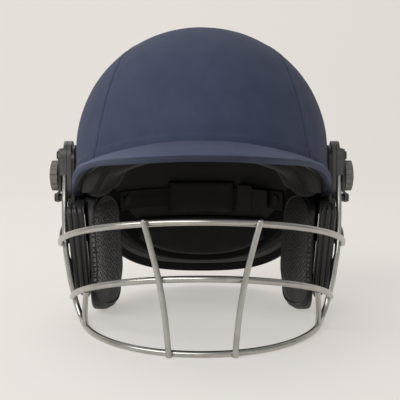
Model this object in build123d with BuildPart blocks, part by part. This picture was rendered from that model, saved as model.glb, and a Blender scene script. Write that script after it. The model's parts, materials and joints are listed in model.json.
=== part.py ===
from build123d import *
import math
import os

os.makedirs("parts", exist_ok=True)

# Cricket helmet, standing on its chin bar and its two ear pads.
# X runs to the right as seen from the front, the face opening looks along -Y, and Z is up from the floor.
# Every length is in millimetres.

# Dome, measured outside the cloth
HALF_WIDTH = 107.0
HALF_LENGTH = 128.0
DOME_RISE = 104.0
EQUATOR_Z = 142.0
DOME_Y = 5.0
SKIRT_FLARE = 1.0

# How far back the helmet stands, so that the middle of its footprint is over the origin
STAND_Y = 12.785

# Layers of the wall, from the outside in
CLOTH = 1.2
LAYER_GAP = 0.1
SHELL_WALL = 3.0
LINER_WALL = 14.0
COMFORT_PAD = 6.0
BROW_PAD_HEIGHT = 36.0
BROW_PAD_Y = -50.0
REAR_PAD_TOP_Z = 74.0
REAR_PAD_Y = 84.0
CROWN_PAD_RADIUS = 42.0
SIDE_PAD_LENGTH = 70.0
SIDE_PAD_Z = 118.0
SIDE_PAD_HEIGHT = 32.0

# Rim
BINDING_HEIGHT = 8.0
BINDING_INNER_Y = 12.0
BINDING_COVER = 0.6

# Peak
PEAK_THICKNESS = 4.6
PEAK_CORE_THICKNESS = 2.4
PEAK_HEM = 1.1
PEAK_CORE_GAP = 0.1

# Grille wires
FRAME_WIRE = 4.8
BAR_WIRE = 5.0
UPRIGHT_WIRE = 4.4
WELD_SINK = 0.8
CHIN_HALF_WIDTH = 102.0
CHIN_REACH = 151.3
CHIN_SQUARENESS = 2.08
CHIN_START_ANGLE = 15.0
MIDDLE_HALF_WIDTH = 110.5
MIDDLE_REACH = 150.0
MIDDLE_FRONT_Z = 56.6
MIDDLE_SLOPE = 0.3
MIDDLE_START_ANGLE = 10.0
TOP_HALF_WIDTH = 120.6
TOP_REACH = 150.0
TOP_FRONT_Z = 97.2
TOP_SLOPE = 0.25
TOP_START_ANGLE = 5.0
WIRE_STEPS = 16
UPRIGHT_KINK_SHARE = 0.8
BEND_SHARE = 0.45

# Pivot fixing at each side
PIVOT_Z = 120.0
FIXING_X = 108.1
FIXING_WIDTH = 26.0
FIXING_TOP_RISE = 29.7
TAB_THICKNESS = 2.4
BASE_THICKNESS = 3.4
BASE_DROP = 18.6
CLAMP_THICKNESS = 5.6
CLAMP_DROP = 23.0
STRAP_PLATE_THICKNESS = 2.2
STRAP_PLATE_WIDTH = 15.0
STRAP_PLATE_HALF = 23.0
STACK_GAP = 0.3
KNOB_DIAMETER = 26.0
KNOB_THICKNESS = 7.6
KNOB_FLUTES = 10
KNOB_FLUTE_DIAMETER = 5.0
KNOB_FLUTE_SETBACK = 1.0
BOLT_DIAMETER = 6.0
BOLT_CLEARANCE = 0.08
BOLT_END_X = 98.0
NUT_FLANGE_DIAMETER = 15.0
NUT_FLANGE_THICKNESS = 1.6
NUT_BARREL_DIAMETER = 9.0
NUT_FLANGE_X = 102.2
BARREL_SETBACK = 0.4
RECESS_DEPTH = 5.0
PLATE_SCREW_DIAMETER = 3.0
PLATE_SCREW_HEAD = 7.0
PLATE_SCREW_HEAD_HEIGHT = 1.6
PLATE_SCREW_DEPTH = 4.4
PLATE_SCREW_RISE = 17.5
PLATE_SCREW_DROP = 19.0
BOSS_DIAMETER = 7.0
NOTCH_Y = 4.5
NOTCH_RISE = 1.0
WIRE_SEAT_GAP = 0.1
PLATE_SCREW_GAP = 0.05
STRAP_PLATE_JOG = 2.4
TAB_OVERLAP = 12.0
TAB_TOP_SETBACK = 3.5
KNOB_CROWN = 2.0

# Ear guard: a stepped dish that leans in towards its foot
GUARD_FACE_X = 111.3
GUARD_Z = 58.0
GUARD_LEAN = 3.0
GUARD_HALF_HEIGHT = 43.0
GUARD_HALF_WIDTH = 35.0
GUARD_WALL = 2.4
GUARD_DEPTH = 11.0
GUARD_STEP = 5.0
GUARD_OPEN_DEPTH = 5.0
GUARD_OPEN_Y = 17.0
GUARD_LIP = 4.2
GUARD_LIP_Y = 15.0
GUARD_STEM_REACH = 5.8
GUARD_STEM_DROP = 13.0
CLAMP_TOP_THICKNESS = 2.8
CLAMP_TOP_GAP = 0.6
RIB_HEIGHT = 1.2
RIB_WIDTH = 3.0
RIB_LENGTH = 26.0
POST_DIAMETER = 12.0
POST_REACH = 14.1
PATCH_DIAMETER = 11.0
PATCH_THICKNESS = 1.6
HEARING_SLOT = 4.0
HEARING_SLOT_LENGTH = 16.0
SLOT_PLAY = 0.3
GRILLE_TRAVEL = 12.0
ENVELOPE_GAP = 0.4

# Lower screw at each side
LOWER_DROP = 51.8
LOWER_SHANK = 5.0
LOWER_SHANK_END_X = 104.3
LOWER_HEAD_DIAMETER = 19.0
LOWER_HEAD_HEIGHT = 5.4
LUG_X = 114.6
LUG_THICKNESS = 3.0
LUG_WIDTH = 14.0
WASHER_DIAMETER = 14.0
WASHER_THICKNESS = 1.8
LUG_TOP_REACH = 13.6
LUG_FOOT_REACH = 17.2
LOWER_HEAD_CROWN = 3.0
LOWER_NUT_GAP = 0.3
FIT_GAP = 0.08
LOWER_NUT_WIDTH = 8.0
LOWER_NUT_HEIGHT = 4.0

# Chin strap, stowed round the inside of the nape
STRAP_WIDTH = 18.0
STRAP_THICKNESS = 1.6
STRAP_INSET = 19.0
STRAP_Z = 92.0
STRAP_START_Y = 60.0
STRAP_END_X = 48.0
STRAP_END_GAP = 6.0
CUP_HALF_LENGTH = 31.0
CUP_HEIGHT = 30.0
CUP_THICKNESS = 4.0
BUCKLE_LENGTH = 13.0
BUCKLE_HEIGHT = 24.0
BUCKLE_THICKNESS = 6.0
RIVET_DIAMETER = 5.0
RIVET_HEAD = 9.0
RIVET_HEAD_HEIGHT = 1.2
RIVET_DEPTH = 8.0
RIVET_SETBACK = 8.0

# Cut margins, larger than anything they have to clear
OVERRUN = 2.0
FAR = 400.0
SOFT_GAP = 0.3
SEAM_GAP = 0.3
RIGHT_ANGLE = 90
HALF_TURN = 180

# Side outlines of the rims: shares of HALF_LENGTH behind DOME_Y, and of EQUATOR_Z above the floor
SHELL_RIM_SHARES = (
    (-1.25, 1.062), (-0.961, 1.035), (-0.742, 0.965), (-0.445, 0.873), (-0.234, 0.789), (-0.078, 0.715),
    (0.133, 0.676), (0.336, 0.549), (0.508, 0.387), (0.711, 0.241), (0.859, 0.158), (1.0, 0.106), (1.2, 0.06),
)
LINER_RIM_SHARES = (
    (-1.25, 1.02), (-0.961, 0.99), (-0.789, 0.958), (-0.633, 0.901), (-0.531, 0.803), (-0.4, 0.768),
    (-0.039, 0.761), (0.156, 0.761), (0.352, 0.634), (0.523, 0.465), (0.711, 0.317), (0.859, 0.232), (1.0, 0.183),
    (1.2, 0.14),
)

# Cover seams: a point as shares of HALF_WIDTH, HALF_LENGTH and EQUATOR_Z, and the plane's lean in Y and Z
SEAM_POINT_SHARES = (0.768, -0.639, 1.016)
SEAM_NORMAL_SHARES = (1.0, 0.079, 0.185)
CROWN_SEAM_Y_SHARE = 0.02

# Peak, as shares of HALF_WIDTH, HALF_LENGTH and EQUATOR_Z: middle of its edge and of its root, centre to side
PEAK_EDGE_SHARES = (
    (0.0, -1.289, 1.0), (0.318, -1.219, 0.99), (0.617, -0.945, 0.965), (0.841, -0.617, 0.926),
    (0.944, -0.430, 0.880), (1.009, -0.227, 0.799), (1.015, -0.153, 0.736),
)
PEAK_ROOT_SHARES = (
    (0.0, -0.961, 1.074), (0.402, -0.875, 1.046), (0.654, -0.711, 1.0), (0.804, -0.531, 0.958),
    (0.888, -0.367, 0.908), (0.951, -0.215, 0.803), (0.961, -0.153, 0.743),
)

# Side wire of the grille from its end in the clamp to the floor: shares of SIDE_WIRE_X, HALF_LENGTH and PIVOT_Z
SIDE_WIRE_SHARES = (
    (1.0, -0.0625, 1.192), (1.0, -0.0625, 0.933), (0.998, -0.102, 0.758), (0.995, -0.117, 0.617),
    (0.985, -0.156, 0.483), (0.960, -0.172, 0.342), (0.948, -0.180, 0.275), (0.9025, -0.203, 0.1),
    (0.858, -0.258, 0.02),
)

# Upright of the grille: place along X as shares of CHIN_HALF_WIDTH, and height as shares of TOP_FRONT_Z
UPRIGHT_SHARES = ((0.408, 0.998), (0.381, 0.900), (0.297, 0.563), (0.255, 0.288), (0.230, 0.004))

# Brace: X as shares of MIDDLE_HALF_WIDTH, Y of MIDDLE_REACH and Z of MIDDLE_FRONT_Z
BRACE_SHARES = ((0.845, -0.426, 0.080), (0.844, -0.467, 0.247), (0.832, -0.510, 0.442), (0.818, -0.557, 0.622))

# Ear guard: corners as shares of its half width and half height, their radii as shares of its half width,
# and its steps as shares of GUARD_DEPTH and GUARD_STEP
GUARD_CORNER_SHARES = ((-0.97, 0.977), (1.03, 0.977), (0.40, -1.023), (-0.74, -1.023))
GUARD_RADIUS_SHARES = (0.34, 0.34, 0.45, 0.55)
GUARD_TIER_SHARES = ((0.0, 0.25, 1.0), (0.25, 0.47, 0.67), (0.47, 0.69, 0.33), (0.69, 1.0, 0.0))
GUARD_POST_SHARES = ((-0.486, 0.186), (-0.343, 0.767), (-0.229, -0.721))
GUARD_RIB_SHARES = ((0.143, -0.36), (-0.143, -0.36), (-0.43, -0.36))
HEARING_SLOT_SHARES = ((0.0, -0.33), (-0.286, -0.33))

# Ear pad sections: Y as a share of PAD_LENGTH, outer and inner face as shares of PAD_DEPTH in from PAD_OUTER,
# and foot and head as shares of PAD_TOP_Z
PAD_LENGTH = 36.0
PAD_OUTER = 94.9
PAD_BACK_GAP = 0.4
PAD_DEPTH = 22.0
PAD_TOP_Z = 104.5
PAD_CORNER = 3.4
PAD_CORNER_LIMIT = 0.4
PAD_SHARES = (
    (-0.806, 0.09, 0.25, 0.210, 0.838), (-0.667, 0.02, 0.31, 0.133, 0.924), (-0.278, 0.0, 0.42, 0.052, 0.981),
    (0.222, 0.0, 0.56, 0.012, 1.0), (0.556, 0.0, 0.72, -0.006, 0.990), (0.944, 0.06, 0.90, 0.004, 0.943),
    (1.278, 0.22, 1.01, 0.086, 0.838), (1.472, 0.42, 0.92, 0.210, 0.705),
)

SHELL_INSET = CLOTH + LAYER_GAP
LINER_INSET = SHELL_INSET + SHELL_WALL + LAYER_GAP
PAD_INSET = LINER_INSET + LINER_WALL + SOFT_GAP
CAVITY_INSET = PAD_INSET + COMFORT_PAD
TAB_X = FIXING_X
BASE_X = TAB_X + TAB_THICKNESS + STACK_GAP
CLAMP_X = BASE_X + BASE_THICKNESS + STACK_GAP
STRAP_PLATE_X = CLAMP_X + CLAMP_THICKNESS + STACK_GAP
KNOB_X = STRAP_PLATE_X + STRAP_PLATE_THICKNESS + STACK_GAP
SHELL_INNER_X = HALF_WIDTH - LINER_INSET
FIXING_TOP_Z = PIVOT_Z + FIXING_TOP_RISE
LOWER_Z = PIVOT_Z - LOWER_DROP
SIDE_WIRE_X = CLAMP_X + FRAME_WIRE / 2


def dome_y(share):
    """A place along the helmet, from its share of the dome's half length."""
    return DOME_Y + share * HALF_LENGTH


def dome_solid(inset):
    """Everything inside the dome and its skirt, set in from the outside of the cloth."""
    middle = (0, DOME_Y, EQUATOR_Z)
    with BuildPart() as dome:
        with Locations(middle):
            Sphere(1, arc_size1=0, align=(Align.CENTER, Align.CENTER, Align.MIN))
        scale(by=(HALF_WIDTH - inset, HALF_LENGTH - inset, DOME_RISE - inset), about=middle)
        with BuildSketch(Plane(origin=middle)):
            Ellipse(HALF_WIDTH - inset, HALF_LENGTH - inset)
        with BuildSketch(Plane(origin=(0, DOME_Y, -OVERRUN))):
            Ellipse(HALF_WIDTH + SKIRT_FLARE - inset, HALF_LENGTH + SKIRT_FLARE - inset)
        loft(ruled=True)
    return dome.part


def above_rim(rim_shares, lift=0.0):
    """Everything above a rim outline, which is drawn from the side and may be lifted."""
    points = [(dome_y(along), up * EQUATOR_Z + lift) for along, up in rim_shares]
    with BuildPart() as region:
        with BuildSketch(Plane.YZ):
            with BuildLine():
                rim = Spline(*points)
                Polyline(rim @ 1, (points[-1][0], FAR), (points[0][0], FAR), rim @ 0)
            make_face()
        extrude(amount=FAR, both=True)
    return region.part


def block(x_from, x_to, y_from, y_to, z_from, z_to):
    """A box between six planes."""
    with BuildPart() as box:
        with Locations(((x_from + x_to) / 2, (y_from + y_to) / 2, (z_from + z_to) / 2)):
            Box(x_to - x_from, y_to - y_from, z_to - z_from)
    return box.part


def wall(outer_inset, inner_inset, *regions):
    """The dome's wall between two insets, kept where all the regions hold."""
    with BuildPart() as layer:
        add(dome_solid(outer_inset))
        add(dome_solid(inner_inset), mode=Mode.SUBTRACT)
        for region in regions:
            add(region, mode=Mode.INTERSECT)
    return layer.part


def finish(part, name):
    """Moves a piece to its place over the middle of the footprint, labels it and writes its file."""
    with BuildPart() as placed:
        with Locations((0, STAND_Y, 0)):
            add(part)
    placed.part.label = name
    export_step(placed.part, f"parts/{name}.step")


def finish_pair(part, name):
    """Writes a left piece and its mirror image as the right one."""
    finish(part, f"{name}_left")
    with BuildPart() as other:
        mirror(part, about=Plane.YZ)
    finish(other.part, f"{name}_right")


def x_rod(x_from, x_to, diameter, y=0.0, z=PIVOT_Z):
    """A round bar along X, between two places on the left side."""
    with BuildPart() as rod:
        with BuildSketch(Plane.YZ.offset(-x_to)):
            with Locations((y, z)):
                Circle(diameter / 2)
        extrude(amount=x_to - x_from)
    return rod.part


def x_plate(x_from, thickness, width, bottom_z, top_z, y=0.0):
    """An upright plate with round ends, facing out on the left side."""
    with BuildPart() as plate:
        with BuildSketch(Plane.YZ.offset(-x_from - thickness)):
            with Locations((y, (bottom_z + top_z) / 2)):
                SlotOverall(top_z - bottom_z, width, rotation=RIGHT_ANGLE)
        extrude(amount=thickness)
    return plate.part


def wire(points, diameter):
    """A bent round wire through the points, with bends as wide as its runs allow."""
    corners = [Vector(*point) for point in points]
    radii = []
    for before, corner, after in zip(corners, corners[1:], corners[2:]):
        turn = math.radians((corner - before).get_angle(after - corner))
        run = min((corner - before).length, (after - corner).length)
        radii.append(BEND_SHARE * run / math.tan(turn / 2))
    with BuildPart() as bent:
        with BuildLine() as route:
            FilletPolyline(*corners, radius=radii)
        with BuildSketch(Plane(origin=corners[0], z_dir=corners[1] - corners[0])):
            Circle(diameter / 2)
        sweep(path=route.wires()[0])
    return bent.part


# Binding, shell and liner
shell_zone = above_rim(SHELL_RIM_SHARES, BINDING_COVER + LAYER_GAP)
liner_zone = above_rim(LINER_RIM_SHARES)
binding_top = above_rim(SHELL_RIM_SHARES, BINDING_HEIGHT)
binding_inner = SHELL_INSET + SHELL_WALL + BINDING_COVER
bolt_hole = x_rod(BOLT_END_X, KNOB_X + OVERRUN, BOLT_DIAMETER + 2 * BOLT_CLEARANCE)
barrel_hole = x_rod(SHELL_INNER_X - OVERRUN, HALF_WIDTH + OVERRUN, NUT_BARREL_DIAMETER + SOFT_GAP)
flange_recess = x_rod(SHELL_INNER_X - RECESS_DEPTH, SHELL_INNER_X + OVERRUN, NUT_FLANGE_DIAMETER + OVERRUN)

with BuildPart() as binding:
    add(wall(-BINDING_COVER, binding_inner, above_rim(SHELL_RIM_SHARES)))
    add(binding_top, mode=Mode.SUBTRACT)
    groove = wall(
        -LAYER_GAP / 2, binding_inner - BINDING_COVER + LAYER_GAP / 2, above_rim(SHELL_RIM_SHARES, BINDING_COVER)
    )
    add(groove, mode=Mode.SUBTRACT)
    front = block(-FAR, FAR, -FAR, BINDING_INNER_Y, -FAR, FAR)
    add(wall(SHELL_INSET + SHELL_WALL, binding_inner + OVERRUN, front), mode=Mode.SUBTRACT)
finish(binding.part, "rim_binding")

with BuildPart() as shell:
    add(wall(SHELL_INSET, SHELL_INSET + SHELL_WALL, shell_zone))
    add(barrel_hole, mode=Mode.SUBTRACT)
    mirror(barrel_hole, about=Plane.YZ, mode=Mode.SUBTRACT)
finish(shell.part, "shell")

# Rivets of the chin strap, square to the inside of the nape
strap_face = STRAP_INSET + STRAP_THICKNESS
rivet_half_width = HALF_WIDTH - strap_face
rivet_half_length = HALF_LENGTH - strap_face
rivet_behind = STRAP_START_Y + RIVET_SETBACK - DOME_Y
rivet_x = rivet_half_width * math.sqrt(1 - (rivet_behind / rivet_half_length) ** 2)
rivet_out = Vector(-rivet_x / rivet_half_width**2, rivet_behind / rivet_half_length**2, 0).normalized()
rivet_plane = Plane(origin=(-rivet_x, DOME_Y + rivet_behind, STRAP_Z), z_dir=rivet_out)

with BuildPart() as rivet:
    with BuildSketch(rivet_plane.offset(-SOFT_GAP)):
        Circle(RIVET_DIAMETER / 2)
    extrude(amount=RIVET_DEPTH + SOFT_GAP)
    with BuildSketch(rivet_plane.offset(-SOFT_GAP)):
        Circle(RIVET_HEAD / 2)
    extrude(amount=-RIVET_HEAD_HEIGHT)

with BuildPart() as rivets:
    add(rivet.part)
    mirror(rivet.part, about=Plane.YZ)
finish(rivets.part, "strap_rivets")

with BuildPart() as rivet_hole:
    with BuildSketch(rivet_plane.offset(-OVERRUN)):
        Circle(RIVET_DIAMETER / 2 + FIT_GAP)
    extrude(amount=RIVET_DEPTH + 2 * OVERRUN)
    mirror(rivet_hole.part, about=Plane.YZ)

with BuildPart() as liner:
    add(wall(LINER_INSET, LINER_INSET + LINER_WALL, liner_zone))
    add(flange_recess, mode=Mode.SUBTRACT)
    mirror(flange_recess, about=Plane.YZ, mode=Mode.SUBTRACT)
    add(rivet_hole.part, mode=Mode.SUBTRACT)
finish(liner.part, "liner")

# Comfort pads inside the liner
pad_wall = wall(PAD_INSET, CAVITY_INSET, above_rim(LINER_RIM_SHARES, SOFT_GAP * OVERRUN))

with BuildPart() as brow_pad:
    add(pad_wall)
    add(above_rim(LINER_RIM_SHARES, BROW_PAD_HEIGHT), mode=Mode.SUBTRACT)
    add(block(-FAR, FAR, -FAR, BROW_PAD_Y, -FAR, FAR), mode=Mode.INTERSECT)
finish(brow_pad.part, "brow_pad")

with BuildPart() as rear_pad:
    add(pad_wall)
    add(block(-FAR, FAR, REAR_PAD_Y, FAR, 0, REAR_PAD_TOP_Z), mode=Mode.INTERSECT)
finish(rear_pad.part, "rear_pad")

with BuildPart() as crown_pad:
    add(pad_wall)
    with BuildSketch(Plane.XY.offset(EQUATOR_Z), mode=Mode.PRIVATE) as crown_disc:
        with Locations((0, DOME_Y)):
            Circle(CROWN_PAD_RADIUS)
    extrude(crown_disc.sketch, amount=FAR, mode=Mode.INTERSECT)
finish(crown_pad.part, "crown_pad")

with BuildPart() as side_pad:
    add(pad_wall)
    side_block = block(
        -FAR, 0, DOME_Y - SIDE_PAD_LENGTH / 2, DOME_Y + SIDE_PAD_LENGTH / 2, SIDE_PAD_Z, SIDE_PAD_Z + SIDE_PAD_HEIGHT
    )
    add(side_block, mode=Mode.INTERSECT)
finish_pair(side_pad.part, "side_pad")

# Cover panels, cut at the seams
cover = wall(0, CLOTH, shell_zone)
seam_point = (
    -SEAM_POINT_SHARES[0] * HALF_WIDTH, DOME_Y + SEAM_POINT_SHARES[1] * HALF_LENGTH, SEAM_POINT_SHARES[2] * EQUATOR_Z
)
seam_out = (-SEAM_NORMAL_SHARES[0], SEAM_NORMAL_SHARES[1], SEAM_NORMAL_SHARES[2])
crown_seam_y = dome_y(CROWN_SEAM_Y_SHARE)

with BuildPart() as beyond_seam:
    with BuildSketch(Plane(origin=seam_point, z_dir=seam_out).offset(SEAM_GAP / 2)):
        Rectangle(2 * FAR, 2 * FAR)
    extrude(amount=FAR)

with BuildPart() as over_seams:
    with BuildSketch(Plane(origin=seam_point, z_dir=seam_out).offset(-SEAM_GAP / 2)):
        Rectangle(2 * FAR, 2 * FAR)
    extrude(amount=FAR)
    mirror(over_seams.part, about=Plane.YZ)

with BuildPart() as cover_side:
    add(cover)
    add(beyond_seam.part, mode=Mode.INTERSECT)
    add(barrel_hole, mode=Mode.SUBTRACT)
finish_pair(cover_side.part, "cover_side")

with BuildPart() as cover_front:
    add(cover)
    add(over_seams.part, mode=Mode.SUBTRACT)
    add(block(-FAR, FAR, -FAR, crown_seam_y - SEAM_GAP / 2, -FAR, FAR), mode=Mode.INTERSECT)
finish(cover_front.part, "cover_front_panel")

with BuildPart() as cover_rear:
    add(cover)
    add(over_seams.part, mode=Mode.SUBTRACT)
    add(block(-FAR, FAR, crown_seam_y + SEAM_GAP / 2, FAR, -FAR, FAR), mode=Mode.INTERSECT)
finish(cover_rear.part, "cover_rear_panel")


def peak_body(thickness, hem):
    """The peak at a thickness, stopping short of its edge by a hem."""
    root = [Vector(x * HALF_WIDTH, dome_y(y), z * EQUATOR_Z) for x, y, z in PEAK_ROOT_SHARES]
    edge = [Vector(x * HALF_WIDTH, dome_y(y), z * EQUATOR_Z) for x, y, z in PEAK_EDGE_SHARES]
    root = [Vector(-point.X, point.Y, point.Z) for point in reversed(root[1:])] + root
    edge = [Vector(-point.X, point.Y, point.Z) for point in reversed(edge[1:])] + edge
    middles = [(inner + outer) * 0.5 for inner, outer in zip(root, edge)]
    last = len(middles) - 1
    with BuildPart() as body:
        for place, (inner, outer) in enumerate(zip(root, edge)):
            along = middles[min(place + 1, last)] - middles[max(place - 1, 0)]
            across = (outer - inner).normalized()
            along = along - across * along.dot(across)
            reach = (outer - inner).length - hem
            centre = inner + across * (reach / 2)
            with BuildSketch(Plane(origin=centre, x_dir=across, z_dir=along)):
                SlotOverall(reach, thickness)
        loft()
    return body.part


seat = dome_solid(-BINDING_COVER - LAYER_GAP / 2)

with BuildPart() as peak_core:
    add(peak_body(PEAK_CORE_THICKNESS, PEAK_HEM))
    add(seat, mode=Mode.SUBTRACT)
finish(peak_core.part, "peak_core")

with BuildPart() as peak_cover:
    add(peak_body(PEAK_THICKNESS, 0))
    add(peak_body(PEAK_CORE_THICKNESS + 2 * PEAK_CORE_GAP, PEAK_HEM - PEAK_CORE_GAP), mode=Mode.SUBTRACT)
    add(seat, mode=Mode.SUBTRACT)
finish(peak_cover.part, "peak_cover")


# Grille
def bar_y(x, half_width, reach, squareness=2.0):
    """How far forward a bar runs at a place across the helmet."""
    return -reach * (1 - (abs(x) / half_width) ** squareness) ** (1 / squareness)


def bar_points(half_width, reach, front_z, slope, start_angle, squareness=2.0):
    """Points of a bar from its left end round the front to its right end."""
    points = []
    for step in range(WIRE_STEPS + 1):
        angle = math.radians(start_angle + (HALF_TURN - 2 * start_angle) * step / WIRE_STEPS)
        lean = math.cos(angle)
        x = -half_width * math.copysign(abs(lean) ** (2 / squareness), lean)
        y = -reach * math.sin(angle) ** (2 / squareness)
        points.append((x, y, front_z - slope * (y + reach)))
    return points


side_points = [
    (-x * SIDE_WIRE_X, y * HALF_LENGTH, max(z * PIVOT_Z, FRAME_WIRE / 2)) for x, y, z in SIDE_WIRE_SHARES
]
chin_points = bar_points(CHIN_HALF_WIDTH, CHIN_REACH, FRAME_WIRE / 2, 0, CHIN_START_ANGLE, CHIN_SQUARENESS)
other_side = [(-x, y, z) for x, y, z in reversed(side_points)]
finish(wire(side_points + chin_points + other_side, FRAME_WIRE), "grille_frame")

top_points = bar_points(TOP_HALF_WIDTH, TOP_REACH, TOP_FRONT_Z, TOP_SLOPE, TOP_START_ANGLE)
finish(wire(top_points, BAR_WIRE), "top_bar")

middle_points = bar_points(MIDDLE_HALF_WIDTH, MIDDLE_REACH, MIDDLE_FRONT_Z, MIDDLE_SLOPE, MIDDLE_START_ANGLE)
finish(wire(middle_points, BAR_WIRE), "middle_bar")

upright_x = [share * CHIN_HALF_WIDTH for share, _ in UPRIGHT_SHARES]
upright_z = [share * TOP_FRONT_Z for _, share in UPRIGHT_SHARES]
bar_standoff = (BAR_WIRE + UPRIGHT_WIRE) / 2 - WELD_SINK
foot_standoff = (FRAME_WIRE + UPRIGHT_WIRE) / 2 - WELD_SINK
upright_y = [
    bar_y(upright_x[0], TOP_HALF_WIDTH, TOP_REACH) - bar_standoff,
    0,
    bar_y(upright_x[2], MIDDLE_HALF_WIDTH, MIDDLE_REACH) - bar_standoff,
    0,
    bar_y(upright_x[4], CHIN_HALF_WIDTH, CHIN_REACH, CHIN_SQUARENESS) - foot_standoff,
]
upright_y[1] = (UPRIGHT_KINK_SHARE * upright_y[0] + (1 - UPRIGHT_KINK_SHARE) * upright_y[2])
upright_y[3] = (upright_y[2] + upright_y[4]) / 2
upright = wire([(-x, y, z) for x, y, z in zip(upright_x, upright_y, upright_z)], UPRIGHT_WIRE)
finish_pair(upright, "upright")

brace_points = [
    (-x * MIDDLE_HALF_WIDTH, y * MIDDLE_REACH, z * MIDDLE_FRONT_Z) for x, y, z in BRACE_SHARES
]
finish_pair(wire(brace_points, UPRIGHT_WIRE), "brace")

# Pivot fixing
with BuildPart() as pivot_base:
    add(x_plate(BASE_X, BASE_THICKNESS, FIXING_WIDTH, PIVOT_Z - BASE_DROP, FIXING_TOP_Z))
    add(bolt_hole, mode=Mode.SUBTRACT)
finish_pair(pivot_base.part, "pivot_base")

with BuildPart() as pivot_nut:
    add(x_rod(NUT_FLANGE_X - NUT_FLANGE_THICKNESS, NUT_FLANGE_X, NUT_FLANGE_DIAMETER))
    add(x_rod(NUT_FLANGE_X, HALF_WIDTH - BARREL_SETBACK, NUT_BARREL_DIAMETER))
    add(bolt_hole, mode=Mode.SUBTRACT)
finish_pair(pivot_nut.part, "pivot_nut")

wire_y = SIDE_WIRE_SHARES[0][1] * HALF_LENGTH
wire_top = SIDE_WIRE_SHARES[0][2] * PIVOT_Z
boss_top_x = CLAMP_X + CLAMP_THICKNESS + STRAP_PLATE_JOG
upper_screw_z = PIVOT_Z + PLATE_SCREW_RISE
lower_screw_z = PIVOT_Z - PLATE_SCREW_DROP
plate_face_x = STRAP_PLATE_X + STRAP_PLATE_THICKNESS
screw_hole = PLATE_SCREW_DIAMETER + 2 * PLATE_SCREW_GAP

with BuildPart() as clamp_plate:
    add(x_plate(CLAMP_X, CLAMP_THICKNESS, FIXING_WIDTH, PIVOT_Z - CLAMP_DROP, FIXING_TOP_Z))
    notch = block(-FAR, 0, -FAR, -NOTCH_Y, -FAR, PIVOT_Z + NOTCH_RISE)
    add(notch, mode=Mode.SUBTRACT)
    clamp_top_z = PIVOT_Z + STRAP_PLATE_HALF + CLAMP_TOP_GAP
    clamp_step = block(-FAR, -CLAMP_X - CLAMP_TOP_THICKNESS, -FAR, FAR, clamp_top_z, FAR)
    add(clamp_step, mode=Mode.SUBTRACT)
    add(x_rod(CLAMP_X + STACK_GAP, boss_top_x, BOSS_DIAMETER, z=lower_screw_z))
    seat_half = FRAME_WIRE / 2 + WIRE_SEAT_GAP
    wire_seat = block(
        -CLAMP_X - FRAME_WIRE - WIRE_SEAT_GAP, 0, wire_y - seat_half, wire_y + seat_half, 0, wire_top + WIRE_SEAT_GAP
    )
    add(wire_seat, mode=Mode.SUBTRACT)
    add(bolt_hole, mode=Mode.SUBTRACT)
    screw_depth = PLATE_SCREW_DEPTH + PLATE_SCREW_GAP
    add(x_rod(plate_face_x - screw_depth, FAR, screw_hole, z=upper_screw_z), mode=Mode.SUBTRACT)
    lower_depth_x = plate_face_x + STRAP_PLATE_JOG - screw_depth
    add(x_rod(lower_depth_x, FAR, screw_hole, z=lower_screw_z), mode=Mode.SUBTRACT)
finish_pair(clamp_plate.part, "clamp_plate")

with BuildPart() as pivot_strap:
    inner_x = -STRAP_PLATE_X
    outer_x = -plate_face_x
    top_z = PIVOT_Z + STRAP_PLATE_HALF
    foot_z = PIVOT_Z - STRAP_PLATE_HALF
    bend_z = PIVOT_Z - KNOB_DIAMETER / 2
    with BuildSketch(Plane.XZ) as strap_profile:
        with BuildLine():
            Polyline(
                (inner_x, top_z),
                (outer_x, top_z),
                (outer_x, bend_z),
                (outer_x - STRAP_PLATE_JOG, bend_z - STRAP_PLATE_JOG),
                (outer_x - STRAP_PLATE_JOG, foot_z),
                (inner_x - STRAP_PLATE_JOG, foot_z),
                (inner_x - STRAP_PLATE_JOG, bend_z - STRAP_PLATE_JOG),
                (inner_x, bend_z),
                close=True,
            )
        make_face()
    extrude(amount=STRAP_PLATE_WIDTH / 2, both=True)
    outline = x_plate(STRAP_PLATE_X - OVERRUN, FAR, STRAP_PLATE_WIDTH, foot_z, top_z)
    add(outline, mode=Mode.INTERSECT)
    add(bolt_hole, mode=Mode.SUBTRACT)
    add(x_rod(0, FAR, screw_hole, z=upper_screw_z), mode=Mode.SUBTRACT)
    add(x_rod(0, FAR, screw_hole, z=lower_screw_z), mode=Mode.SUBTRACT)
finish_pair(pivot_strap.part, "pivot_strap")

with BuildPart() as clamp_screws:
    for head_x, screw_z in ((plate_face_x, upper_screw_z), (plate_face_x + STRAP_PLATE_JOG, lower_screw_z)):
        head_top = head_x + PLATE_SCREW_GAP + PLATE_SCREW_HEAD_HEIGHT
        add(x_rod(head_x - PLATE_SCREW_DEPTH, head_top, PLATE_SCREW_DIAMETER, z=screw_z))
        add(x_rod(head_x + PLATE_SCREW_GAP, head_top, PLATE_SCREW_HEAD, z=screw_z))
finish_pair(clamp_screws.part, "clamp_screws")

with BuildPart() as knob:
    with BuildSketch(Plane.YZ.offset(-KNOB_X - KNOB_THICKNESS)):
        with Locations((0, PIVOT_Z)):
            Circle(KNOB_DIAMETER / 2)
            with PolarLocations(KNOB_DIAMETER / 2 + KNOB_FLUTE_SETBACK, KNOB_FLUTES):
                Circle(KNOB_FLUTE_DIAMETER / 2, mode=Mode.SUBTRACT)
    extrude(amount=KNOB_THICKNESS)
    crown_radius = ((KNOB_DIAMETER / 2) ** 2 + KNOB_CROWN**2) / (2 * KNOB_CROWN)
    with Locations((crown_radius - KNOB_X - KNOB_THICKNESS, 0, PIVOT_Z)):
        Sphere(crown_radius, mode=Mode.INTERSECT)
    add(x_rod(BOLT_END_X, KNOB_X + OVERRUN, BOLT_DIAMETER))
finish_pair(knob.part, "knob")

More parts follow.
